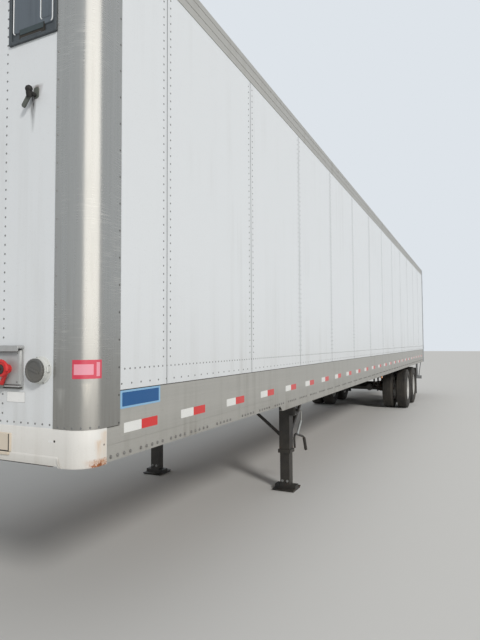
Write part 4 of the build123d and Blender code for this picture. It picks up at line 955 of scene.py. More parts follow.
plate_low_z, plate_high_z = 1.546, 1.64
red_back = corner_plate(11.8, 80.5, plate_low_z, plate_high_z, 0.0002, 0.0005)
red_fields = [
    corner_plate(16.0, 60.0, plate_low_z + 0.02, plate_high_z - 0.022, 0.0006, 0.0003),
    corner_plate(67.0, 75.5, plate_low_z + 0.012, plate_high_z - 0.012, 0.0006, 0.0003, steps=5),
]
red_parts = [(red_back, red_enamel), (red_fields, red_border)]
make_piece("corner_plate_red", red_parts, "trailer")
blue_place = (front_x - 0.446, rail_face_y, 1.421)
blue_back = plate((0.372, 0.097, 0.006), (0.001, 0.0004), blue_place, road_side, upward)
blue_face = plate((0.34, 0.075, 0.004), (0.0006, 0.0003, 0.001), blue_place, road_side, upward)
make_piece("rail_plate_blue", [(blue_back, blue_border), (blue_face, blue_enamel)], "trailer")

# %% [markdown]
# The front lower rail is painted steel. Across the front a folded lip stands a little proud along its
# foot, and the lip goes on round the curb-side corner. On the road side it has torn off: the corner's
# skin hangs a little lower there, plain and straight down, and a curl of metal stands at the tear. One
# surface gives all of it: a path along the outline, and at each point of the path a closed section that
# is either the lipped one or the plain one, let down by the sag.

# %% Front lower rail with its torn lip
rail_cream = finish(
    "pale rail paint", (224, 222, 217), rough=0.42, coat=0.1,
    layers=[
        dirt(0.34, 14.0, (160, 150, 132), low=1.1, splash=0.2),
        stained((208, 172, 128), (7.95, 1.2955, 1.275), 0.03, 0.24, 0.3),
        stained((204, 162, 114), (7.985, 1.29, 1.235), 0.024, 0.18, 0.34),
        stained((186, 128, 80), (7.97, 1.292, 1.14), 0.085, 0.1, 0.6),
        rusty(90.0, 0.02, (7.98, 1.287, 1.09), 0.088),
        (flush, {"Row X": 7.9526, "Pitch": 1.2126, "Size": 0.0055}),
    ],
    bump=(14.0, 0.22, 0.003),
)

# %% Outline and sections of the rail
tear_y = 1.107


def rail_outline(steps=26):
    """The outline over both corners, from the curb side to the road side, with its outward directions."""
    left, left_out = round_corner(tear_y + 0.0005, 0.145, 1, step=0.02)
    right, right_out = round_corner(tear_y + 0.0005, 0.145, -1, step=0.02)
    middle_y = np.linspace(-tear_y, tear_y, steps)
    middle = np.stack([np.full(steps, front_x), middle_y, np.zeros(steps)], -1)
    middle_out = np.tile([1.0, 0.0, 0.0], (steps, 1))
    path = np.concatenate([right[::-1], middle, left])
    return path, np.concatenate([right_out[::-1], middle_out, left_out])


path, outs = rail_outline()
torn = (path[:, 1] > tear_y + 0.0001).astype(float)
run = np.cumsum(torn)
sag = torn * (0.004 + 0.009 * (1 - run / run[-1]) ** 0.8)
lip = np.array([
    (0.003, 1.2948), (0.001, 1.293), (0, 1.2905), (0, 1.205), (0, 1.158), (-0.0012, 1.1562),
    (-0.0024, 1.153), (-0.0025, 1.149), (0.0004, 1.1125), (0.0014, 1.1102), (0.003, 1.11),
    (0.0036, 1.115), (0.058, 1.115),
])
plain = np.concatenate([
    lip[:5],
    [
        (0, 1.1562), (0, 1.153), (0, 1.149), (0, 1.1215), (0.0004, 1.1175), (0.0014, 1.1157),
        (0.0036, 1.115), (0.058, 1.115),
    ],
])
inner_z = np.array(
    [1.2948, 1.293, 1.2905, 1.205, 1.158, 1.1562, 1.153, 1.149, 1.13, 1.125, 1.121, 1.1188, 1.1188],
)
inner = np.stack([np.append(np.full(12, 0.0042), 0.058), inner_z], -1)
outer = lip + (plain - lip) * torn[:, None, None]
outer[:, :, 0] = np.where(outer[:, :, 0] < 0, outer[:, :, 0] * outs[:, 0:1] ** 2, outer[:, :, 0])
sections = np.concatenate([outer, np.broadcast_to(inner[::-1], outer.shape)], axis=1)
sections[:, :, 1] -= sag[:, None] * np.clip((1.205 - sections[:, :, 1]) / 0.09, 0, 1)
rail_points = path[:, None] - sections[:, :, 0:1] * outs[:, None] + sections[:, :, 1:2] * np.array(upward)
rail_faces = grid_faces(len(path), sections.shape[1], wrap_columns=True)[:, ::-1]
half_count = len(lip)
strip = np.arange(half_count - 1)
cap = np.stack([strip, strip + 1, 2 * half_count - 2 - strip, 2 * half_count - 1 - strip], -1)
last = (len(path) - 1) * 2 * half_count
rail_skin = weld((rail_points.reshape(-1, 3), np.concatenate([rail_faces, cap[:, ::-1], cap + last])))


# %% The curl at the tear
def sheet(grid, turned_over=False):
    """A grid of points as a shape, with its faces turned over where they would look inwards."""
    faces = grid_faces(*grid.shape[:2])
    return grid.reshape(-1, 3), faces[:, ::-1] if turned_over else faces


drop = np.linspace(0, 1, 10)[:, None]
across = np.linspace(0, 1, 5)[None, :]
curl = np.stack([
    front_x + 0.001 + 0.009 * np.sin(np.pi * drop) * (0.35 + 0.65 * across) + 0 * across,
    tear_y - 0.006 + 0.024 * drop ** 2 + 0.012 * across, 1.155 - 0.048 * drop - 0.004 * across * drop,
], -1)
curl_back = curl - np.array([0.0024, 0.0, 0.0])
edges = [
    sheet(curl), sheet(curl_back, True), sheet(np.stack([curl[:, 0], curl_back[:, 0]], 1), True),
    sheet(np.stack([curl[:, -1], curl_back[:, -1]], 1)), sheet(np.stack([curl[0], curl_back[0]], 1)),
    sheet(np.stack([curl[-1], curl_back[-1]], 1), True),
]
skin_parts = [([rail_skin, weld(join(*edges))], rail_cream)]
make_piece(
    "front_rail_skin", skin_parts, "trailer", replaces=["front_lower_rail"], crease=25,
)

# %% [markdown]
# A beige bracket with an upright slot stands on the rail's front face near the road side. The rail also has
# a small square hole with a smear of paint beside it. The slot, the hole and the shade under the bracket's
# foot are painted shadow: thin dark plates on the metal. The flush screw at the end of each bend comes with
# the rail's finish, because nothing of it stands proud of the trailer's widest line.

# %% Rail bracket, painted shadows of its slot, foot and hole, and smear
bracket_beige = finish(
    "beige bracket paint", (216, 205, 188), rough=0.5, layers=[dirt(0.4, 20.0, (150, 120, 84))],
    bump=(90.0, 0.2, 0.001),
)
smear_white = finish(
    "paint smear", (238, 238, 236), rough=0.5, layers=[dirt(0.3, 40.0)], bump=(200.0, 0.2, 0.0005),
)
# A dark colour for painted shadow in slots, gaps and openings that lie in shade.
shadow_black = finish("painted shadow black", (22, 22, 23), rough=0.85, layers=[road_film(0.2)])
bracket = front_plate((0.22, 0.096, 0.004), (0.009, 0.003), 0.676, 1.207, front_x)
# Painted shadow: the bracket's slot, the shade under its foot and the rail's hole are thin dark plates.
bracket_slot_shadow = front_plate((0.006, 0.088, 0.002, 2), (0.001, 0.0004, 0.0088), 0.7755, 1.207, front_x)
bracket_foot = plate((0.2, 0.018, 0.003), (0.014, 0.003), (front_x - 0.002, 0.676, 1.15), ahead, upward)
foot_shadow = front_plate((0.204, 0.007, 0.002, 2), (0.0096, 0.0004), 0.676, 1.1615, front_x)
hole = front_plate((0.011, 0.011, 0.002, 2), (0.0008, 0.0003), 1.087, 1.234, front_x)
smear = front_plate((0.03, 0.01, 0.004), (0.0005, 0.0002), 1.062, 1.231, front_x)
rail_parts = [
    ([bracket, bracket_foot], bracket_beige), ([bracket_slot_shadow, foot_shadow, hole], shadow_black),
    (smear, smear_white),
]
make_piece("rail_bracket", rail_parts, "trailer")

# %% [markdown]
# Where each wall plate laps over the bottom rail, a thin dark strip lies in the step. It is painted shadow,
# and it draws the thin line that separates white plate from grey rail along the whole side. A second short
# strip paints the shadow under each corner's foot.

# %% Painted shadow lines
# A dark grey for the painted shadow lines.
shadow_line_grey = finish(
    "painted shadow line", (58, 58, 57), rough=0.7, layers=[road_film(0.3)], bump=(140.0, 0.3, 0.001),
)
# Painted shadow: a strip along each side where the wall plate stands proud of the rail.
shadow_line_length = front_x - 0.252 - rear_frame_x
shadow_strips = []
for sign in (1, -1):
    seam_place = (rear_frame_x, sign * (rail_face_y + 0.0021), panel_low_z - 0.002)
    shadow_strips.append(plate((0.0046, 0.006, 0.002, 2), (shadow_line_length, 0.001), seam_place, ahead, upward))
# Painted shadow under each corner's foot.
for sign in (1, -1):
    foot_place = (front_x - 0.246, sign * (half_width - 0.0055), corner_low_z - 0.0021)
    shadow_strips.append(plate((0.008, 0.004, 0.001, 2), (0.1, 0.0005), foot_place, ahead, upward))
make_piece("painted_shadow_lines", [(shadow_strips, shadow_line_grey)], "trailer")

# %% [markdown]
# Air and light reach the trailer through a shallow pressed tray on the front wall. It holds two
# couplings, blue for the service line and red for the emergency line, with a seven-way socket between
# them. Each coupling is a turned body with a black sealing ring, a bent guard bar and a tail with a nut.

# %% Air and light connectors
tray_grey = finish(
    "grey connector tray", (176, 177, 176), rough=0.45, metal=0.3, layers=[dirt(0.5, 26.0, (90, 86, 78))],
    bump=(60.0, 0.15, 0.001),
)
coupling_red = finish(
    "red coupling paint", (208, 44, 44), rough=0.4, layers=[dirt(0.5, 40.0, (60, 40, 36))],
    bump=(150.0, 0.3, 0.001),
)
coupling_blue = finish(
    "blue coupling paint", (36, 84, 160), rough=0.4, layers=[dirt(0.5, 40.0, (40, 42, 48))],
    bump=(150.0, 0.3, 0.001),
)
steel_plain = finish(
    "plain steel", (150, 150, 148), rough=0.42, metal=0.85, base=crystals(240.0, 0.2),
    layers=[rusty(30.0, 0.12)], bump=(300.0, 0.15, 0.0005),
)

# %% Tray and its hood
tray_y, tray_low_z, tray_high_z = 0.53, 1.482, 1.712
tray_z = 1.59
back_plate = front_plate(
    (0.672, tray_high_z - tray_low_z, 0.006), (0.004, 0.001), tray_y, (tray_low_z + tray_high_z) / 2,
)
tray_levels = [(to_middle, 0.002), (0.0, 0.002), (0.006, 0.014), (0.01, 0.016), (to_middle, 0.016)]
tray = raised(rounded_box(0.65, 0.19, 0.01), tray_levels, (plate_face_x, tray_y, 1.598), ahead, upward)
hood = front_plate((0.672, 0.016, 0.005), (0.042, 0.003), tray_y, tray_high_z - 0.008)
hood_lip = front_plate((0.672, 0.03, 0.004), (0.0035, 0.001, 0.0395), tray_y, tray_high_z - 0.015)
ledge = front_plate((0.66, 0.008, 0.003), (0.026, 0.002), tray_y, 1.5)
# Painted shadow: a dark strip under the ledge.
ledge_shadow = front_plate((0.656, 0.007, 0.002, 2), (0.02, 0.001), tray_y, 1.4925)


# %% Couplings
def coupling(place_y, paint_finish):
    """A turned body that steps out to a wide face, its seal, a guard bar over the top and a bent tail."""
    place = (plate_face_x, place_y, tray_z)
    body = turned([
        (0.01, 0), (0.01, 0.024), (0.03, 0.022), (0.036, 0.032), (0.046, 0.04), (0.064, 0.04),
        (0.068, 0.036), (0.068, 0.026), (0.06, 0.024), (0.06, 0.0),
    ], 24, place, ahead, upward)
    seal = turned(
        [(0.06, 0.0245), (0.071, 0.0245), (0.075, 0.021), (0.075, 0.013), (0.066, 0.009), (0.06, 0.009)],
        24, place, ahead, upward, closed=True,
    )
    turn = np.radians(np.linspace(-10, 150, 13))
    bar_y, bar_z = place_y + 0.043 * np.cos(turn), tray_z + 0.043 * np.sin(turn)
    hood_path = np.stack([np.full(13, plate_face_x + 0.064), bar_y, bar_z], -1)
    guard = bent_bar(hood_path, 0.0085, 8, reference=ahead)
    share = np.linspace(0, 1, 9)
    tail_path = np.stack([
        plate_face_x + 0.052 - 0.024 * share, place_y + 0.034 - 0.075 * share,
        tray_z - 0.01 - 0.08 * share ** 1.3,
    ], -1)
    tail = bent_bar(tail_path, 0.0115, 12, reference=ahead)
    nut_body = hexagon(0.0165, (0.018, 0.002), tail_path[-2], tail_path[-1] - tail_path[-2], ahead)
    return [
        (body, paint_finish), (seal, rubber_black), ([guard, tail], paint_finish), (nut_body, steel_plain),
    ]


socket_place = (plate_face_x, tray_y, tray_z)
socket_body = turned([
    (0.01, 0), (0.01, 0.04), (0.02, 0.04), (0.024, 0.031), (0.046, 0.031), (0.049, 0.027),
    (0.049, 0.023), (0.03, 0.022), (0.03, 0),
], 24, socket_place, ahead, upward)
lid = raised(many_sided(24, 0.034), plate_levels(0.006, 0.002, base=0.051), socket_place, ahead, upward)
lid_hinge = front_plate((0.03, 0.012, 0.004), (0.056, 0.002), tray_y, tray_z + 0.038)
screw_places = every([plate_face_x + 0.016], [0.225, 0.425, 0.635, 0.835], [1.522, 1.674])
tray_screws = scatter(button_head(0.006, 0.003), screw_places, ahead, upward)
label = front_plate((0.128, 0.052, 0.002, 2), (0.0004, 0.0002), 0.81, 1.443)
label_edge = front_plate((0.132, 0.056, 0.002, 2), (0.0002, 0.0001), 0.81, 1.443)
tray_parts = [
    ([back_plate, tray, hood, hood_lip, ledge], tray_grey), (ledge_shadow, shadow_black),
    (tray_screws, steel_plain), *coupling(0.3, coupling_blue), *coupling(0.772, coupling_red),
    (socket_body, tray_grey), ([lid, lid_hinge], steel_plain), (label, smear_white),
    (label_edge, tray_grey),
]
make_piece("air_box_fittings", tray_parts, "trailer", replaces=["air_box"])

# %% [markdown]
# Papers travel in a plastic tube let into the front wall. A pale ring frames it, and a dark grey cap
# with grip ribs screws onto its end. Both are turned; the ribs come from a radius that rises and falls
# round the cap.

# %% Document tube
tube_white = finish(
    "milky tube plastic", (206, 207, 203), rough=0.32, coat=0.2, layers=[dirt(0.45, 30.0, (120, 114, 100))],
    bump=(50.0, 0.1, 0.001),
)
cap_grey = finish(
    "dark cap plastic", (86, 88, 88), rough=0.5, layers=[road_film(0.35)], bump=(160.0, 0.2, 0.001),
)
tube_place = (plate_face_x, 0.986, 1.586)
tube_ring = turned([
    (0, 0), (0, 0.072), (0.004, 0.072), (0.006, 0.07), (0.007, 0.065), (0.012, 0.0635), (0.03, 0.0625),
    (0.031, 0.064), (0.034, 0.064), (0.035, 0.062), (0.036, 0.0),
], 48, tube_place, ahead, upward)
cap_profile = np.array([
    (0.03, 0.0), (0.03, 0.057), (0.034, 0.0605), (0.047, 0.0605), (0.05, 0.058), (0.051, 0.054),
    (0.051, 0.047), (0.048, 0.044), (0.0475, 0.0),
])
turn = np.arange(96) * 2 * np.pi / 96
ribbed = 1 - 0.03 * (np.arange(96) % 4 == 0)[:, None] * (cap_profile[None, :, 1] > 0.0575)
reach = ribbed * cap_profile[None, :, 1]
cap_points = np.array(tube_place) + np.stack([
    np.broadcast_to(cap_profile[None, :, 0], reach.shape), reach * np.cos(turn)[:, None],
    reach * np.sin(turn)[:, None],
], -1)
cap = weld((cap_points.reshape(-1, 3), grid_faces(96, len(cap_profile), wrap_rows=True)))
cap_bar = plate((0.074, 0.012, 0.005), (0.0045, 0.001, 0.047), tube_place, ahead, (0, 0.35, 1))
clip_turn = np.radians([20, 110, 200, 290])
clip_steps = [np.full(4, 0.006), 0.0675 * np.cos(clip_turn), 0.0675 * np.sin(clip_turn)]
clip_places = np.array(tube_place) + np.stack(clip_steps, -1)
clips = scatter(button_head(0.0045, 0.003), clip_places, ahead, upward)
latch_clip = front_plate((0.014, 0.03, 0.004), (0.02, 0.003, 0.006), 0.986 + 0.0655, 1.592)
tube_parts = [
    (tube_ring, tube_white), ([cap, cap_bar], cap_grey), (clips, steel_plain), (latch_clip, tube_white),
]
make_piece("document_tube_shell", tube_parts, "trailer", replaces=["document_tube"])

# %% [markdown]
# High on the front wall is a vent door in a dark riveted frame. Its sheet is pressed into ribs, and a latch
# sits near the bottom, over a dark plate that is painted shadow for its slot. The highlights along the ribs'
# upright edges are painted: near-white round bars, bent inward at their feet, sunk halfway into the sheet.

# %% Vent
vent_grey = finish(
    "grey vent sheet", (96, 104, 111), rough=0.45, metal=0.4,
    base=mill_lines((6, 6, 0.15), 16.0, 0.25, 0.45), layers=[dirt(0.6, 30.0, (62, 64, 66))],
    bump=(40.0, 0.12, 0.001),
)
vent_dark = finish(
    "dark vent frame", (74, 80, 84), rough=0.5, metal=0.3, base=mill_lines((6, 6, 0.15), 16.0, 0.25, 0.5),
    layers=[dirt(0.6, 30.0, (44, 44, 44))], bump=(40.0, 0.12, 0.001),
)
# Painted highlight: a near-white colour on the rib edges stands in for light.
vent_highlight_white = finish(
    "painted vent highlight", (236, 237, 236), rough=0.35, metal=0.2, layers=[dirt(0.25, 30.0)],
    bump=(60.0, 0.1, 0.001),
)

# %% Vent frame and sheet
vent_low_y, vent_high_y, vent_low_z, vent_high_z = 0.7295, 1.0745, 3.339, 3.759
vent_middle = (plate_face_x, (vent_low_y + vent_high_y) / 2, (vent_low_z + vent_high_z) / 2)
vent_frame = raised(rounded_box(vent_high_y - vent_low_y, vent_high_z - vent_low_z, 0.006), [
    (to_middle, 0.0), (0, 0), (0, 0.01), (0.002, 0.012), (0.018, 0.012), (0.02, 0.01), (0.021, 0.004),
    (to_middle, 0.004),
], vent_middle, ahead, upward)
panel_levels = [(to_middle, 0.003), (0, 0.003), (0.001, 0.007), (0.004, 0.0095), (to_middle, 0.0095)]
vent_sheet = raised(
    rounded_box(0.292, 0.35, 0.022, 6), panel_levels, (plate_face_x, 0.908, vent_low_z + 0.232), ahead,
    upward,
)
vent_rib = raised(
    rounded_box(0.07, 0.32, 0.018, 6),
    [(to_middle, 0.009), (0, 0.009), (0.003, 0.0115), (0.006, 0.012), (to_middle, 0.012)],
    (plate_face_x, 1.006, vent_low_z + 0.248), ahead, upward,
)


# %% Painted highlight lines, latch with its painted slot shadow, and screws
def highlight_line(place_y, low_z, lean):
    """A painted highlight line, upright with a quarter-circle foot: y leans by lean (1 - cos t) while z
    falls by sin t.
    """
    turn = np.linspace(0, np.pi / 2, 7)
    foot_y = place_y + lean * (1 - np.cos(turn))
    foot_z = low_z + 0.02 * (1 - np.sin(turn))
    y = np.concatenate([[place_y, place_y], foot_y])
    z = np.concatenate([[3.742, low_z + 0.06], foot_z])
    path = np.stack([np.full(len(y), plate_face_x + 0.0108), y, z], -1)
    return bent_bar(path, 0.0028, 8, reference=ahead)


# Three round bars coloured as painted highlights along the rib edges.
highlight_lines = [
    highlight_line(0.765, 3.394, 0.012), highlight_line(0.964, 3.427, 0.01), highlight_line(1.048, 3.402, -0.01),
]
latch_place = (plate_face_x, 0.9, 3.378)
latch_green = finish(
    "dark latch handle", (56, 68, 71), rough=0.6, layers=[dirt(0.5, 40.0, (28, 30, 30))],
    bump=(90.0, 0.3, 0.001),
)
# Painted shadow: a dark plate under the latch stands for the slot it sits in.
latch_opening_shadow = plate((0.182, 0.068, 0.004), (0.0106, 0.001), latch_place, ahead, upward)
latch_grip = front_plate((0.17, 0.03, 0.006), (0.0028, 0.001, 0.0106), 0.9, 3.394)
latch_bar = front_plate((0.15, 0.008, 0.003), (0.0024, 0.001, 0.0106), 0.895, 3.36)
edge_y = np.linspace(vent_low_y + 0.01, vent_high_y - 0.01, 6)
edge_z = np.linspace(vent_low_z + 0.01, vent_high_z - 0.01, 7)
frame_screws = np.concatenate([
    every([plate_face_x + 0.012], edge_y, [edge_z[0], edge_z[-1]]),
    every([plate_face_x + 0.012], [edge_y[0], edge_y[-1]], edge_z[1:-1]),
])
vent_heads = scatter(button_head(0.0045, 0.002), frame_screws, ahead, upward)
vent_parts = [
    (vent_frame, vent_dark), ([vent_sheet, vent_rib], vent_grey), (highlight_lines, vent_highlight_white),
    (latch_opening_shadow, shadow_black), (latch_grip, latch_green), ([latch_bar, vent_heads], vent_dark),
]
make_piece("front_vent_door", vent_parts, "trailer", replaces=["front_vent"])

# %% [markdown]
# Below the vent is a black rubber hook for the hoses: a foot screwed to the wall, an arm that comes
# forward to a round knob, a neck below the knob, and a short grey tongue that hangs down from it.

# %% Hose hook
hook_rubber = finish(
    "hook rubber", (17, 17, 18), rough=0.65, layers=[road_film(0.07)], bump=(120.0, 0.2, 0.001),
)
tongue_grey = finish(
    "grey tongue", (82, 90, 86), rough=0.7, layers=[road_film(0.4)], bump=(160.0, 0.3, 0.001),
)
hook_foot = front_plate((0.038, 0.06, 0.012), (0.004, 0.002), 0.93, 3.044)
share = np.linspace(0, 1, 12)
arm_path = np.stack([
    plate_face_x + 0.003 + 0.04 * np.sin(share * np.pi / 2), 0.926 - 0.008 * share,
    3.03 + 0.02 * share ** 2,
], -1)
arm = bent_bar(arm_path, 0.0105, 12, reference=road_side)
neck_path = np.stack(
    [plate_face_x + 0.043 - 0.014 * share, 0.918 - 0.007 * share, 3.05 - 0.038 * share], -1,
)
neck = bent_bar(neck_path, 0.0155, 12, reference=road_side)
knob_angle = np.linspace(-np.pi / 2, np.pi / 2, 9)
knob = turned(
    np.stack([0.0185 * np.sin(knob_angle), 0.0195 * np.cos(knob_angle)], -1), 18,
    (plate_face_x + 0.04, 0.918, 3.051), (1, 0, 0.4), road_side,
)
tongue_place = (plate_face_x + 0.024, 0.886, 2.996)
tongue = plate((0.027, 0.07, 0.01), (0.011, 0.003), tongue_place, ahead, (0, 0.62, 0.78))
hook_parts = [(hook_foot, tongue_grey), ([arm, neck, knob], hook_rubber), (tongue, tongue_grey)]
make_piece("hose_hook", hook_parts, "trailer", replaces=["front_hook"])

# %% [markdown]
# Lamps come in three kinds: round stop and tail lamps in rubber rings, small oblong marker lamps
# across the header, and an amber turn lamp under each bottom rail. A lens is a shallow dome with small
# prisms moulded inside it, which the material shows as fine cells of lighter and darker colour.


# %% Lamps
def lens_finish(name, color, pale):
    """Coloured clear plastic over a bright reflector: fine cells of the pale colour under a glossy coat."""
    material, tree, shader = new_material(name, {"Roughness": 0.12, "Coat Weight": 0.8})
    cells = add_node(
        tree, "TexVoronoi", {"Vector": stretched(tree), "Scale": 190.0, "Randomness": 0.1},
        distance="CHEBYCHEV",
    )
    toned = mixed(tree, ranged(tree, cells.outputs["Distance"], 0.1, 0.6), paint(*pale), paint(*color))
    tree.links.new(toned, shader.inputs["Base Color"])
    lift = add_node(
        tree, "Bump", {"Strength": 0.35, "Distance": 0.001, "Height": cells.outputs["Distance"]},
    )
    tree.links.new(lift.outputs["Normal"], shader.inputs["Normal"])
    return material


lens_red = lens_finish("red lens", (150, 12, 16), (206, 40, 40))
lens_amber = lens_finish("amber lens", (206, 104, 12), (240, 156, 40))
round_ring = turned(
    [(0, 0.043), (0, 0.054), (0.006, 0.054), (0.01, 0.05), (0.01, 0.046), (0.006, 0.043)], 32, closed=True,
)
round_lens = turned(
    [(0.002, 0), (0.002, 0.044), (0.007, 0.043), (0.01, 0.034), (0.0115, 0.018), (0.0118, 0)], 32,
)
oblong_base = plate((0.118, 0.038, 0.019, 6), (0.006, 0.002))
oblong_lens = raised(
    rounded_box(0.104, 0.028, 0.014, 6),
    [(to_middle, 0.004), (0, 0.004), (0, 0.008), (0.003, 0.0105), (0.008, 0.0118), (to_middle, 0.0118)],
)
side_lamp_places = np.array(
    [(front_x - 8.2, sign * (rail_face_y - 0.012), rail_low_z - 0.025) for sign in (1, -1)],
)
side_outs = np.array([(0.0, sign, 0.0) for sign in (1, -1)])
side_base = plate((0.108, 0.05, 0.01, 5), (0.007, 0.002, -0.009))
side_lens = raised(
    rounded_box(0.092, 0.036, 0.01, 5),
    [(to_middle, -0.003), (0, -0.003), (0, 0.004), (0.004, 0.009), (0.012, 0.0115), (to_middle, 0.0118)],
)
round_y, round_z = [-0.845, -0.72, 0.72, 0.845], [1.17]
oblong_y, oblong_z = [-1.12, -0.13, 0.0, 0.13, 1.12], [4.0575]
lamp_parts = [
    (on_rear(round_ring, round_y, round_z), rubber_black),
    (on_rear(round_lens, round_y, round_z), lens_red),
    (on_rear(oblong_base, oblong_y, oblong_z), rubber_black),
    (on_rear(oblong_lens, oblong_y, oblong_z), lens_red),
    (scatter(side_base, side_lamp_places, side_outs, upward), rubber_black),
    (scatter(side_lens, side_lamp_places, side_outs, upward), lens_amber),
]
make_piece("lamp_set", lamp_parts, "trailer", replaces=["lamps"])

# %% [markdown]
# Eight tyres run in pairs. A trailer tyre has straight ribs, because it only has to roll: four zigzag
# grooves, short cuts along the shoulders, and a sidewall that swells above the bead. The tyre is a
# profile turned round the axle, and the cuts and the zigzag are small changes of radius and width that
# depend on the angle.

# %% Tyres
tyre_radius = 0.505
axle_x = {"front": front_x - 12.1, "rear": front_x - 13.345}
pair_places = (0.8125, 1.1555)
tyre_sides = 180
crown = [0.0, 0.0165, 0.018, 0.026, 0.0275, 0.0545, 0.056, 0.064, 0.0655, 0.093, 0.1]
groove = [0, 0, 1, 1, 0, 0, 1, 1, 0, 0, 0]
shoulder = [
    (0.105, 0.4975), (0.108, 0.493), (0.1105, 0.483), (0.113, 0.478), (0.1115, 0.4745), (0.118, 0.464),
    (0.1255, 0.447), (0.1285, 0.443), (0.1268, 0.4395), (0.1325, 0.423), (0.1352, 0.405), (0.136, 0.385),
    (0.1348, 0.366), (0.1318, 0.362), (0.1318, 0.357), (0.1338, 0.353), (0.1318, 0.347), (0.1275, 0.342),
    (0.124, 0.33), (0.1205, 0.327), (0.1215, 0.323), (0.117, 0.315), (0.114, 0.309), (0.107, 0.303),
    (0.0985, 0.2985), (0.0985, 0.285),
]
half = np.array([(w, tyre_radius - w * w * 0.45 - 0.011 * g) for w, g in zip(crown, groove)] + shoulder)
profile = np.concatenate([half[::-1] * np.array([-1, 1]), half[1:]])
turn = np.arange(tyre_sides) * 2 * np.pi / tyre_sides
wide = np.broadcast_to(profile[None, :, 0], (tyre_sides, len(profile))).copy()
deep = np.broadcast_to(profile[None, :, 1], (tyre_sides, len(profile))).copy()
in_groove = (np.abs(profile[:, 0]) > 0.016) & (np.abs(profile[:, 0]) < 0.066)
wide += 0.0016 * in_groove[None, :] * np.sign(np.sin(turn * 45))[:, None]
on_shoulder = (np.abs(profile[:, 0]) > 0.0995) & (profile[:, 1] > 0.485)
deep -= 0.0045 * on_shoulder[None, :] * (np.arange(tyre_sides) % 5 == 0)[:, None]


def tyre_at(x, y):
    """Point = axle centre + width along Y + radius (cos t, sin t) in the plane of the wheel."""
    points = np.stack(
        [x + deep * np.cos(turn)[:, None], y + wide, tyre_radius + deep * np.sin(turn)[:, None]], -1,
    )
    faces = grid_faces(tyre_sides, len(profile), wrap_rows=True, wrap_columns=True)
    return weld((points.reshape(-1, 3), faces[:, ::-1]))


for name, x in axle_x.items():
    for side, sign in both_sides:
        pair = join(*[tyre_at(x, sign * place_y) for place_y in pair_places])
        make_piece(
            f"tyre_pair_{name}_{side}", [(pair, tyre_rubber)], f"wheels_{name}_{side}",
            replaces=[f"tyres_{name}_{side}"], crease=30,
        )

# %% [markdown]
# Each pair shares a hub. The two steel wheels are the same pressing, back to back: a barrel with a
# rolled lip, and a dished disc with five hand holes, held by ten nuts. A disc with holes is a grid in
# five sectors. In each, rings of points grow from the hole's edge to the sector's edge, and the dish is
# a height that depends only on the distance from the axle.

# %% Wheel discs with hand holes
hole_ring_radius, hand_hole_radius, disc_inner_radius, disc_outer_radius = 0.2285, 0.026, 0.08, 0.262


def dish(radius):
    """Flat out to the nuts, then a smooth rise to the barrel."""
    share = np.clip((radius - 0.172) / (0.262 - 0.172), 0, 1)
    return 0.085 * share * share * (3 - 2 * share)


def wheel_disc(thick=0.01, per_edge=10, rings=5):
    """Five sectors of a ring, each with a round hole, as a front and a back sheet."""
    half_sector = np.pi / 5
    step = np.linspace(0, 1, per_edge, endpoint=False)
    radius = np.concatenate([
        np.full(per_edge, disc_outer_radius),
        disc_outer_radius + (disc_inner_radius - disc_outer_radius) * step,
        np.full(per_edge, disc_inner_radius),
        disc_inner_radius + (disc_outer_radius - disc_inner_radius) * step,
    ])
    angle = np.concatenate([
        half_sector * (1 - 2 * step), np.full(per_edge, -half_sector), half_sector * (2 * step - 1),
        np.full(per_edge, half_sector),
    ])
    edge = np.stack([radius * np.cos(angle), radius * np.sin(angle)], -1)
    centre = np.array([hole_ring_radius, 0.0])
    toward = edge - centre
    rim = centre + hand_hole_radius * toward / np.linalg.norm(toward, axis=1, keepdims=True)
    grow = np.linspace(0, 1, rings) ** 1.3
    flat = rim[:, None] + grow[None, :, None] * (edge - rim)[:, None]
    flat = np.concatenate([flat[:, ::-1], flat], axis=1)
    rise = dish(np.linalg.norm(flat, axis=-1)) + np.where(np.arange(2 * rings) < rings, -thick, 0.0)
    sector = np.concatenate([flat, rise[..., None]], axis=-1)
    spin = 2 * np.pi / 5 * np.arange(5)
    cos, sin = np.cos(spin)[:, None, None], np.sin(spin)[:, None, None]
    x, y, z = np.moveaxis(sector, -1, 0)
    points = np.stack([cos * x - sin * y, sin * x + cos * y, np.broadcast_to(z, (5, *z.shape))], -1)
    faces = grid_faces(len(edge), 2 * rings, wrap_rows=True, wrap_columns=True)
    faces = faces.reshape(len(edge), 2 * rings, 4)
    round_the_edge = np.arange(len(edge)) // per_edge % 2 == 0
    keep = round_the_edge[:, None] | (np.arange(2 * rings) < 2 * rings - 1)
    faces = faces[keep]
    starts = (np.arange(5) * len(edge) * 2 * rings)[:, None, None]
    return weld((points.reshape(-1, 3), (faces[None] + starts).reshape(-1, 4)))


disc = wheel_disc()
print("one wheel disc has", len(disc[1]), "faces")

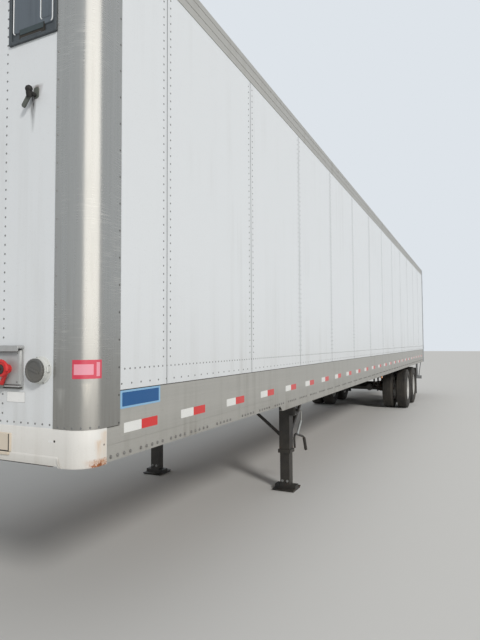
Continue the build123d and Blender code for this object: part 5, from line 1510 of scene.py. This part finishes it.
# %% Barrels, hubs, drums and nuts
hub_grey = finish(
    "hub casting", (120, 120, 118), rough=0.5, metal=0.6, base=crystals(160.0, 0.2),
    layers=[road_film(0.4)], bump=(160.0, 0.25, 0.001),
)
drum_iron = finish(
    "rusty drum iron", (78, 66, 58), rough=0.7, metal=0.3, layers=[rusty(12.0, 0.42), road_film(0.35)],
    bump=(90.0, 0.3, 0.0015),
)
barrel = [
    (-0.1055, 0.288), (-0.104, 0.296), (-0.1, 0.2975), (-0.0975, 0.293), (-0.097, 0.2835), (-0.06, 0.2825),
    (0.06, 0.2825), (0.097, 0.2835), (0.0975, 0.293), (0.1, 0.2975), (0.104, 0.296), (0.1055, 0.288),
    (0.103, 0.278), (0.09, 0.272), (0.05, 0.27), (0.03, 0.263), (-0.03, 0.263), (-0.05, 0.27),
    (-0.09, 0.272), (-0.103, 0.278),
]
hub_profile = [
    (0.94, 0.0), (0.94, 0.1), (0.998, 0.1), (1.004, 0.088), (1.05, 0.083), (1.112, 0.078), (1.116, 0.0865),
    (1.13, 0.0865), (1.133, 0.075), (1.15, 0.071), (1.16, 0.058), (1.165, 0.036), (1.165, 0.0),
]
drum_profile = [
    (0.775, 0.0), (0.775, 0.213), (0.8, 0.213), (0.803, 0.205), (0.905, 0.205), (0.925, 0.196),
    (0.958, 0.16), (0.962, 0.0),
]
nut = join(
    turned([(0, 0), (0, 0.0225), (0.004, 0.0225), (0.0045, 0.018), (0.0045, 0)], 12),
    raised(
        many_sided(6, 0.0192),
        [(to_middle, 0.0), (0, 0.0), (0, 0.021), (0.0025, 0.0235), (to_middle, 0.0235)],
    ),
    turned([(0.02, 0), (0.02, 0.0105), (0.033, 0.0105), (0.035, 0.0085), (0.035, 0)], 10),
)
cap_bolt = hexagon(0.0065, (0.005, 0.001))
outer_face, inner_face, hub_cap_face = 0.995, 0.973, 1.13


# %% Wheel pairs
def ring_of(count, radius, first, across, up):
    """Steps from the middle to equal turns on a circle: radius (cos t across + sin t up)."""
    angle = np.arange(count) * 2 * np.pi / count + first
    return radius * (np.cos(angle)[:, None] * across + np.sin(angle)[:, None] * up)


for name, x in axle_x.items():
    for side, sign in both_sides:
        centre = np.array([x, 0.0, tyre_radius])
        out = np.array([0.0, sign, 0.0])
        across, up, out = basis(out, upward)
        outer_disc = scatter(disc, centre + outer_face * out, out, upward)
        inner_disc = scatter(disc, centre + inner_face * out, -out, upward)
        middles = [centre + place * out for place in pair_places]
        barrels = join(*[turned(barrel, 72, middle, out, upward, closed=True) for middle in middles])
        hub = turned(hub_profile, 40, centre, out, upward)
        drum = turned(drum_profile, 48, centre, out, upward)
        nut_places = centre + outer_face * out + ring_of(10, 0.1429, 0.12, across, up)
        bolt_places = centre + hub_cap_face * out + ring_of(6, 0.08, 0.0, across, up)
        wheel_parts = [
            ([outer_disc, inner_disc, barrels], wheel_white), (hub, hub_grey), (drum, drum_iron),
            (scatter(nut, nut_places, out, upward), steel_plain),
            (scatter(cap_bolt, bolt_places, out, upward), steel_plain),
        ]
        make_piece(
            f"wheel_pair_{name}_{side}", wheel_parts, f"wheels_{name}_{side}",
            replaces=[f"wheels_{name}_{side}"],
        )

# %% [markdown]
# The rear doors are held by round lock rods. Each rod turns in saddle brackets and ends in a cam that
# hooks behind the keepers' ears, and a flat handle swings it. Five hinges on each door have a long
# strap, four bolts and a round knuckle. All of it is zinc-coated, and it moves with its door.

# %% Door hardware
door_low_z, door_high_z = 1.281, 3.994
hinge_z = door_low_z + 0.5426 * (np.arange(5) + 0.5)
rod_rows = ((0.24, 1, 1.72), (0.88, -1, 1.48))
bracket_z = door_low_z + np.array([0.25, 0.9, 1.75, 2.45]) + 0.025
rod_x = rear_x - 0.032
strap_plate = plate((0.18, 0.066, 0.01), (0.008, 0.002))
small_bolt = hexagon(0.0085, (0.006, 0.0015))
saddle_foot = plate((0.06, 0.05, 0.006), (0.005, 0.0015))
arc = np.radians(np.linspace(-20, 200, 15))
saddle_path = np.stack([0.0185 * np.cos(arc), 0 * arc, 0.032 + 0.0185 * np.sin(arc)], -1)
saddle_out = np.stack([np.cos(arc), 0 * arc, np.sin(arc)], -1)
saddle_band = carried(
    saddle_path, saddle_out, np.tile([0.0, 1.0, 0.0], (15, 1)),
    [(-0.002, -0.018), (-0.002, 0.018), (0.002, 0.018), (0.002, -0.018)],
)
rod_profile = [(0, 0), (0, 0.0115), (0.002, 0.0135), (2.813, 0.0135), (2.815, 0.0115), (2.815, 0)]
cam = plate((0.034, 0.036, 0.008), (0.04, 0.004, -0.02))
handle_bar = plate((0.45, 0.026, 0.012), (0.008, 0.002))
handle_hub = turned([(-0.02, 0), (-0.02, 0.019), (0.02, 0.019), (0.02, 0)], 16)
catch_plate = plate((0.04, 0.045, 0.006), (0.02, 0.002))
catch_lip = plate((0.044, 0.01, 0.003), (0.034, 0.002))
knuckle = turned([(-0.034, 0), (-0.034, 0.0095), (0.034, 0.0095), (0.034, 0)], 16)
leaf_section = [(-0.004, -0.033), (0.004, -0.033), (0.004, 0.033), (-0.004, 0.033)]
leaf_up = np.tile(upward, (3, 1))

# %% Hardware on both doors
for side, sign in both_sides:
    strap_bolt_y = [sign * y for y in (1.06, 1.1, 1.145, 1.19)]
    parts = [
        on_rear(strap_plate, [sign * 1.1345], hinge_z),
        on_rear(small_bolt, strap_bolt_y, hinge_z, rear_x - 0.008),
    ]
    leaf_path = np.array(
        [(rear_x - x, sign * y, 0) for x, y in ((0.004, 1.215), (0.01, 1.232), (0.03, 1.2765))],
    )
    leaf_side = np.array([(-1.0, 0, 0), (-0.9, -sign * 0.43, 0), (-0.9, -sign * 0.43, 0)])
    parts += [carried(leaf_path + np.array([0, 0, z]), leaf_side, leaf_up, leaf_section) for z in hinge_z]
    parts.append(scatter(knuckle, every([rear_x - 0.03], [sign * 1.2855], hinge_z), upward, road_side))
    for rod_y, way, handle_z in rod_rows:
        y = sign * rod_y
        catch_y = sign * (rod_y + way * 0.42)
        parts += [
            turned(rod_profile, 16, (rod_x, y, 1.23), upward, road_side),
            on_rear(saddle_foot, [y], bracket_z), on_rear(saddle_band, [y], bracket_z),
            on_rear(small_bolt, [y - 0.0235, y + 0.0235], bracket_z, rear_x - 0.005),
            on_rear(cam, [y], [1.248, 4.027], rod_x),
            on_rear(handle_bar, [sign * (rod_y + way * 0.235)], [handle_z], rod_x - 0.006),
            scatter(handle_hub, [(rod_x, y, handle_z)], upward, road_side),
            on_rear(catch_plate, [catch_y], [handle_z + 0.002]),
            on_rear(catch_lip, [catch_y], [handle_z - 0.024]),
        ]
    make_piece(
        f"door_hardware_{side}", [(parts, frame_zinc)], f"door_{side}",
        replaces=[f"door_gear_{side}"],
    )

# %% [markdown]
# A black rubber seal runs round each door's face. It is one flat section carried round the door's
# outline, with a raised bead, and it stops short of the gaps so that the doors swing clear.


# %% Door seals
def door_seal(low_y, high_y, low_z, high_z):
    """Four mitred strips: the door's outline moved inwards step by step, and lifted off it in between."""
    def outline(inset):
        half = np.array([(high_y - low_y) / 2, (high_z - low_z) / 2]) - inset
        return half * np.array([(1, 1), (-1, 1), (-1, -1), (1, -1)])
    middle = (rear_x, (low_y + high_y) / 2, (low_z + high_z) / 2)
    levels = [
        (0.001, 0.0), (0.001, 0.002), (0.006, 0.0045), (0.012, 0.0045), (0.018, 0.002), (0.02, 0.0),
        (0.001, 0.0),
    ]
    return raised(outline, levels, middle, behind, upward)


for side, sign in both_sides:
    low_y, high_y = sorted((sign * 0.005, sign * 1.2295))
    seal = door_seal(low_y, high_y, door_low_z, door_high_z)
    make_piece(f"door_seal_{side}", [(seal, rubber_black)], f"door_{side}")

# %% [markdown]
# The guard below the doors has an outer post and a slanting stay on each side, between the sill and the
# bar. They are plain zinc-coated sections, bolted through small feet at both ends.

# %% Guard posts and stays
post_parts = []
post_x, bar_top_z, sill_foot_z = -7.98, 0.6, 1.059
guard_stud = hexagon(0.009, (0.007, 0.002))
stay_section = rounded_box(0.04, 0.022, 0.004, 2)(0)
for sign in (1, -1):
    post_parts.append(
        plate((0.06, 0.078, 0.008), (0.465, 0.002), (post_x, sign * 1.075, bar_top_z), upward, ahead),
    )
    for foot_z in (bar_top_z, sill_foot_z):
        foot_place = (post_x, sign * 1.085, foot_z)
        post_parts.append(plate((0.074, 0.13, 0.006), (0.006, 0.001), foot_place, upward, ahead))
    stay_points = ((1.14, 0.604), (1.155, 0.74), (1.178, 0.9), (1.205, 1.062))
    stay_path = np.array([(-7.985, sign * y, z) for y, z in stay_points])
    post_parts.append(carried(stay_path, np.tile(ahead, (4, 1)), np.tile(road_side, (4, 1)), stay_section))
    post_parts.append(on_rear(guard_stud, [sign * 1.048, sign * 1.122], [0.628], rear_x + 0.042))
make_piece("guard_posts", [(post_parts, frame_zinc)], "trailer")

# %% [markdown]
# Two dock bumpers stand on the rear sill. Such a bumper is a row of rubber slabs cut from tyres, threaded
# on rods between steel end plates, so it is made as that: one slab repeated, a back plate, two ends.

# %% Dock bumpers
slab = plate((0.015, 0.108, 0.003, 2), (0.086, 0.004, 0.01))
end_plate = plate((0.008, 0.118, 0.002, 2), (0.074, 0.003, 0.008))
rod_nut = hexagon(0.01, (0.008, 0.002))
bumper_parts, slab_parts = [], []
bumper_y, bumper_z = 1.12, 1.125
slab_steps = (np.arange(14) - 6.5) * 0.016
for sign in (1, -1):
    centre_y = sign * bumper_y
    bumper_parts.append(
        plate((0.258, 0.118, 0.006), (0.01, 0.002), (rear_x, centre_y, bumper_z), behind, upward),
    )
    slab_parts.append(on_rear(slab, centre_y + slab_steps, [bumper_z]))
    for end in (-1, 1):
        bumper_parts.append(on_rear(end_plate, [centre_y + end * 0.119], [bumper_z]))
        nut_places = every([rear_x - 0.045], [centre_y + end * 0.122], [1.095, 1.155])
        bumper_parts.append(scatter(rod_nut, nut_places, (0, end, 0), upward))
slab_and_steel = [(slab_parts, rubber_black), (bumper_parts, gear_black)]
make_piece("dock_bumper_slabs", slab_and_steel, "trailer", replaces=["dock_bumpers"])

# %% [markdown]
# The landing gear's drive is a gearbox on the road-side leg, a cross shaft to the other leg and a
# folding crank, stowed so that it hangs beside the leg. The gearbox gets a bolted cover, and the shaft
# and crank are round bars: a yoke, a pale arm, and a dark bar that hangs folded from it, with a grip.

# %% Landing gear drive
leg_x = front_x - 3.8
crank_metal = finish(
    "worn crank steel", (140, 140, 136), rough=0.45, metal=0.7, layers=[rusty(22.0, 0.22)],
    bump=(160.0, 0.2, 0.001),
)
crank_pale = finish(
    "pale crank zinc", (168, 172, 172), rough=0.4, metal=0.5, base=crystals(200.0, 0.2),
    layers=[road_film(0.3)], bump=(200.0, 0.15, 0.0005),
)
gear_z = 0.965
gear_place = (leg_x, 0.9775, gear_z)
gear_case = plate((0.12, 0.2, 0.018), (0.06, 0.006), gear_place, road_side, upward)
gear_cover = plate((0.104, 0.184, 0.014), (0.006, 0.002, 0.06), gear_place, road_side, upward)
cover_places = every([leg_x - 0.042, leg_x + 0.042], [1.0435], [gear_z - 0.08, gear_z, gear_z + 0.08])
cover_bolts = scatter(hexagon(0.007, (0.004, 0.001)), cover_places, road_side, upward)
shaft_z = 0.985
shaft_profile = [(-0.8505, 0), (-0.8505, 0.016), (0.8505, 0.016), (0.8505, 0)]
shaft = turned(shaft_profile, 20, (leg_x, 0, shaft_z), road_side, upward)
collar = turned([(-0.02, 0), (-0.02, 0.026), (0.02, 0.026), (0.02, 0)], 20)
collars = scatter(collar, [(leg_x, -0.6, shaft_z), (leg_x, 0.6, shaft_z)], road_side, upward)
share = np.linspace(0, 1, 8)
joint_profile = [(0, 0), (0, 0.016), (0.03, 0.016), (0.034, 0.01), (0.034, 0)]
joint = turned(joint_profile, 12, (leg_x, 1.044, 0.925), road_side, upward)
yoke_path = [(leg_x, 1.07, 0.925), (leg_x, 1.094, 0.922), (leg_x, 1.1, 0.9), (leg_x + 0.003, 1.1, 0.8)]
yoke = bent_bar(yoke_path, 0.0115, 12, reference=ahead)
arm_path = np.stack([leg_x + 0.003 + 0.14 * share, np.full(8, 1.1), 0.806 - 0.136 * share], -1)
crank_arm = bent_bar(arm_path, 0.015, 12, reference=road_side)
fold_path = np.array([
    (4.51, 1.102, 0.54), (4.52, 1.102, 0.6), (4.522, 1.102, 0.65), (4.508, 1.102, 0.678),
    (4.478, 1.102, 0.684), (4.42, 1.102, 0.672), (4.3, 1.102, 0.64), (4.225, 1.102, 0.62),
    (4.192, 1.102, 0.604), (4.176, 1.102, 0.575), (4.15, 1.104, 0.52), (4.125, 1.105, 0.455),
])
crank_loop = bent_bar(fold_path, 0.0125, 10, reference=road_side)
fall = fold_path[-1] - fold_path[-2]
grip_profile = [(-0.15, 0), (-0.15, 0.016), (-0.144, 0.018), (0.006, 0.018), (0.012, 0.015), (0.012, 0)]
grip = turned(grip_profile, 14, fold_path[-1], fall, road_side)
drive_parts = [
    ([gear_case, gear_cover], gear_black), (cover_bolts, steel_plain),
    ([shaft, collars, joint], gear_black), (yoke, crank_metal), (crank_arm, crank_pale),
    (crank_loop, gear_black), (grip, rubber_black),
]
make_piece("landing_gear_drive", drive_parts, "trailer", replaces=["landing_drive"])

# %% [markdown]
# Bolts finish the legs and the suspension. Each leg's mount is bolted up through the crossmembers, and
# two round-bar clamps bent to a U hold each spring down on its axle, with nuts under the seat.

# %% Leg bolts and spring clamps
leg_bolt = join(
    raised(many_sided(16, 0.016), plate_levels(0.003, 0.001)), hexagon(0.012, (0.011, 0.002, 0.003)),
)
mount_bolt_x = leg_x + np.array([-0.31, -0.24, -0.17, 0.17, 0.24, 0.31])
leg_bolts = [
    scatter(leg_bolt, every(mount_bolt_x, [sign * 0.989], [1.108]), (0, sign, 0), upward)
    for sign in (1, -1)
]
foot_bolt_places = every([leg_x + 0.0572], [-0.944, -0.884, 0.884, 0.944], [0.105])
leg_bolts.append(scatter(leg_bolt, foot_bolt_places, ahead, upward))
make_piece("landing_gear_bolts", [(leg_bolts, steel_plain)], "trailer")

spring_top_z = 0.5885 + 3 * 0.016
clamp_bend = np.radians(np.linspace(0, 180, 13))
clamp_nut = hexagon(0.016, (0.02, 0.002))
clamp_shapes, nut_shapes = [], []
half_span, downward = 0.046, (0, 0, -1)
spring_y = (0.54, -0.54)
for x in axle_x.values():
    for clamp_x in (x - 0.062, x + 0.062):
        for middle_y in spring_y:
            low_y, high_y = middle_y - half_span, middle_y + half_span
            bend_part = np.stack([
                0 * clamp_bend + clamp_x, middle_y + half_span * np.cos(clamp_bend),
                spring_top_z + 0.02 * np.sin(clamp_bend),
            ], -1)
            legs = [
                [(clamp_x, high_y, 0.42), (clamp_x, high_y, 0.52)],
                [(clamp_x, low_y, 0.52), (clamp_x, low_y, 0.42)],
            ]
            path = np.concatenate([legs[0], bend_part, legs[1]])
            clamp_shapes.append(bent_bar(path, 0.0085, 10, reference=ahead))
            nut_places = [(clamp_x, low_y, 0.434), (clamp_x, high_y, 0.434)]
            nut_shapes.append(scatter(clamp_nut, nut_places, downward, road_side))
    for middle_y in spring_y:
        seat_place = (x, middle_y, 0.4415)
        nut_shapes.append(plate((0.15, 0.116, 0.012), (0.012, 0.003), seat_place, downward, road_side))
clamp_parts = [(clamp_shapes, spring_steel), (nut_shapes, gear_black)]
make_piece("spring_clamps", clamp_parts, "bogie")

# %% [markdown]
# The photograph is taken from close to the road-side front corner, at eye height, with a wide lens. The
# camera's place, turn and lens were solved from the trailer's own joints and rails, which have known
# sizes, so the render can be laid over the picture.

# %% Camera
camera_place = np.array([9.9911, 3.0172, 1.7207])
yaw, tilt, roll = np.radians([25.281, 2.561, -0.292])
look = np.array([-np.cos(yaw) * np.cos(tilt), -np.sin(yaw) * np.cos(tilt), np.sin(tilt)])
right = np.array([-np.sin(yaw), np.cos(yaw), 0.0])
top = np.cross(right, look)
right, top = np.cos(roll) * right + np.sin(roll) * top, np.cos(roll) * top - np.sin(roll) * right
camera_data = bpy.data.cameras.new("view")
camera_data.sensor_fit = "VERTICAL"
camera_data.sensor_height = 36.0
camera_data.lens = 28.574
camera_data.clip_end = 200.0


def set_up(name, data, place, right, top, back):
    """A camera or lamp looks against its back direction: its matrix holds right, top, back and its place."""
    obj = bpy.data.objects.new(name, data)
    axes = Matrix(np.stack([right, top, back], axis=1).tolist()).to_4x4()
    obj.matrix_world = Matrix.Translation(np.asarray(place, float).tolist()) @ axes
    bpy.context.scene.collection.objects.link(obj)
    return obj


camera = set_up("view", camera_data, camera_place, right, top, -look)
bpy.context.scene.camera = camera

# %% [markdown]
# The trailer stands on a plain pale floor under soft light. A broad sky light reaches every side, and
# one large soft sun shines from the front and the road side, as in the photograph. Together they come
# to about one, so a colour renders as it is written and the white walls don't clip. Camera and mirror
# rays see a pale backdrop instead of the sky light. A tall reflector card beside the front, seen by
# mirror rays alone, draws the bright band on the corner.

# %% Floor, sky light and sun
floor_pale = finish("pale floor", (214, 213, 210), rough=1.0, bump=(20.0, 0.1, 0.002))
floor_pale.node_tree.nodes["Principled BSDF"].inputs["Specular IOR Level"].default_value = 0.0
floor_steps = np.linspace(-90, 90, 10)
floor_points = every(floor_steps, floor_steps, [0.0])
floor_mesh = bpy.data.meshes.new("stage_floor")
floor_mesh.from_pydata(floor_points.tolist(), [], grid_faces(10, 10).tolist())
floor_mesh.materials.append(floor_pale)
stage_floor = bpy.data.objects.new("stage_floor", floor_mesh)
bpy.context.scene.collection.objects.link(stage_floor)

world = bpy.data.worlds.new("studio")
bpy.context.scene.world = world
world.use_nodes = True
tree = world.node_tree
tree.nodes.clear()
ray = add_node(tree, "LightPath")
sky_light = add_node(tree, "Background", {"Color": (0.94, 0.97, 1.0, 1.0), "Strength": 0.55})
backdrop = add_node(tree, "Background", {"Color": paint(222, 228, 234), "Strength": 1.0})
seen = math(tree, "MAXIMUM", ray.outputs["Is Camera Ray"], ray.outputs["Is Glossy Ray"])
seen = math(tree, "MAXIMUM", seen, ray.outputs["Is Transmission Ray"])
choice = add_node(tree, "MixShader", {0: seen, 1: sky_light.outputs[0], 2: backdrop.outputs[0]})
add_node(tree, "OutputWorld", {"Surface": choice.outputs[0]})

sun_data = bpy.data.lights.new("soft sun", "SUN")
sun_data.energy = 1.75
sun_data.angle = np.radians(11)
sun_data.color = (1.0, 0.975, 0.94)
sun = set_up("soft sun", sun_data, (0, 0, 0), *basis((0.516, 0.692, 0.505), upward))

card_data = bpy.data.lights.new("reflector card", "AREA")
card_data.shape = "RECTANGLE"
card_data.size, card_data.size_y = 21.0, 18.0
card_data.color = (1.0, 0.955, 0.89)
card_data.energy = 1.62 * np.pi * card_data.size * card_data.size_y
toward_card = np.array([0.391, 0.921, 0.0])
card_place = np.array([7.95, 1.17, 9.0]) + 14.0 * toward_card
card = set_up("reflector card", card_data, card_place, *basis(toward_card, upward))
card.visible_camera = card.visible_diffuse = sun.visible_glossy = False
bpy.context.scene.view_settings.view_transform = "Standard"

# %% Triangles added
print("triangles added", triangle_count)
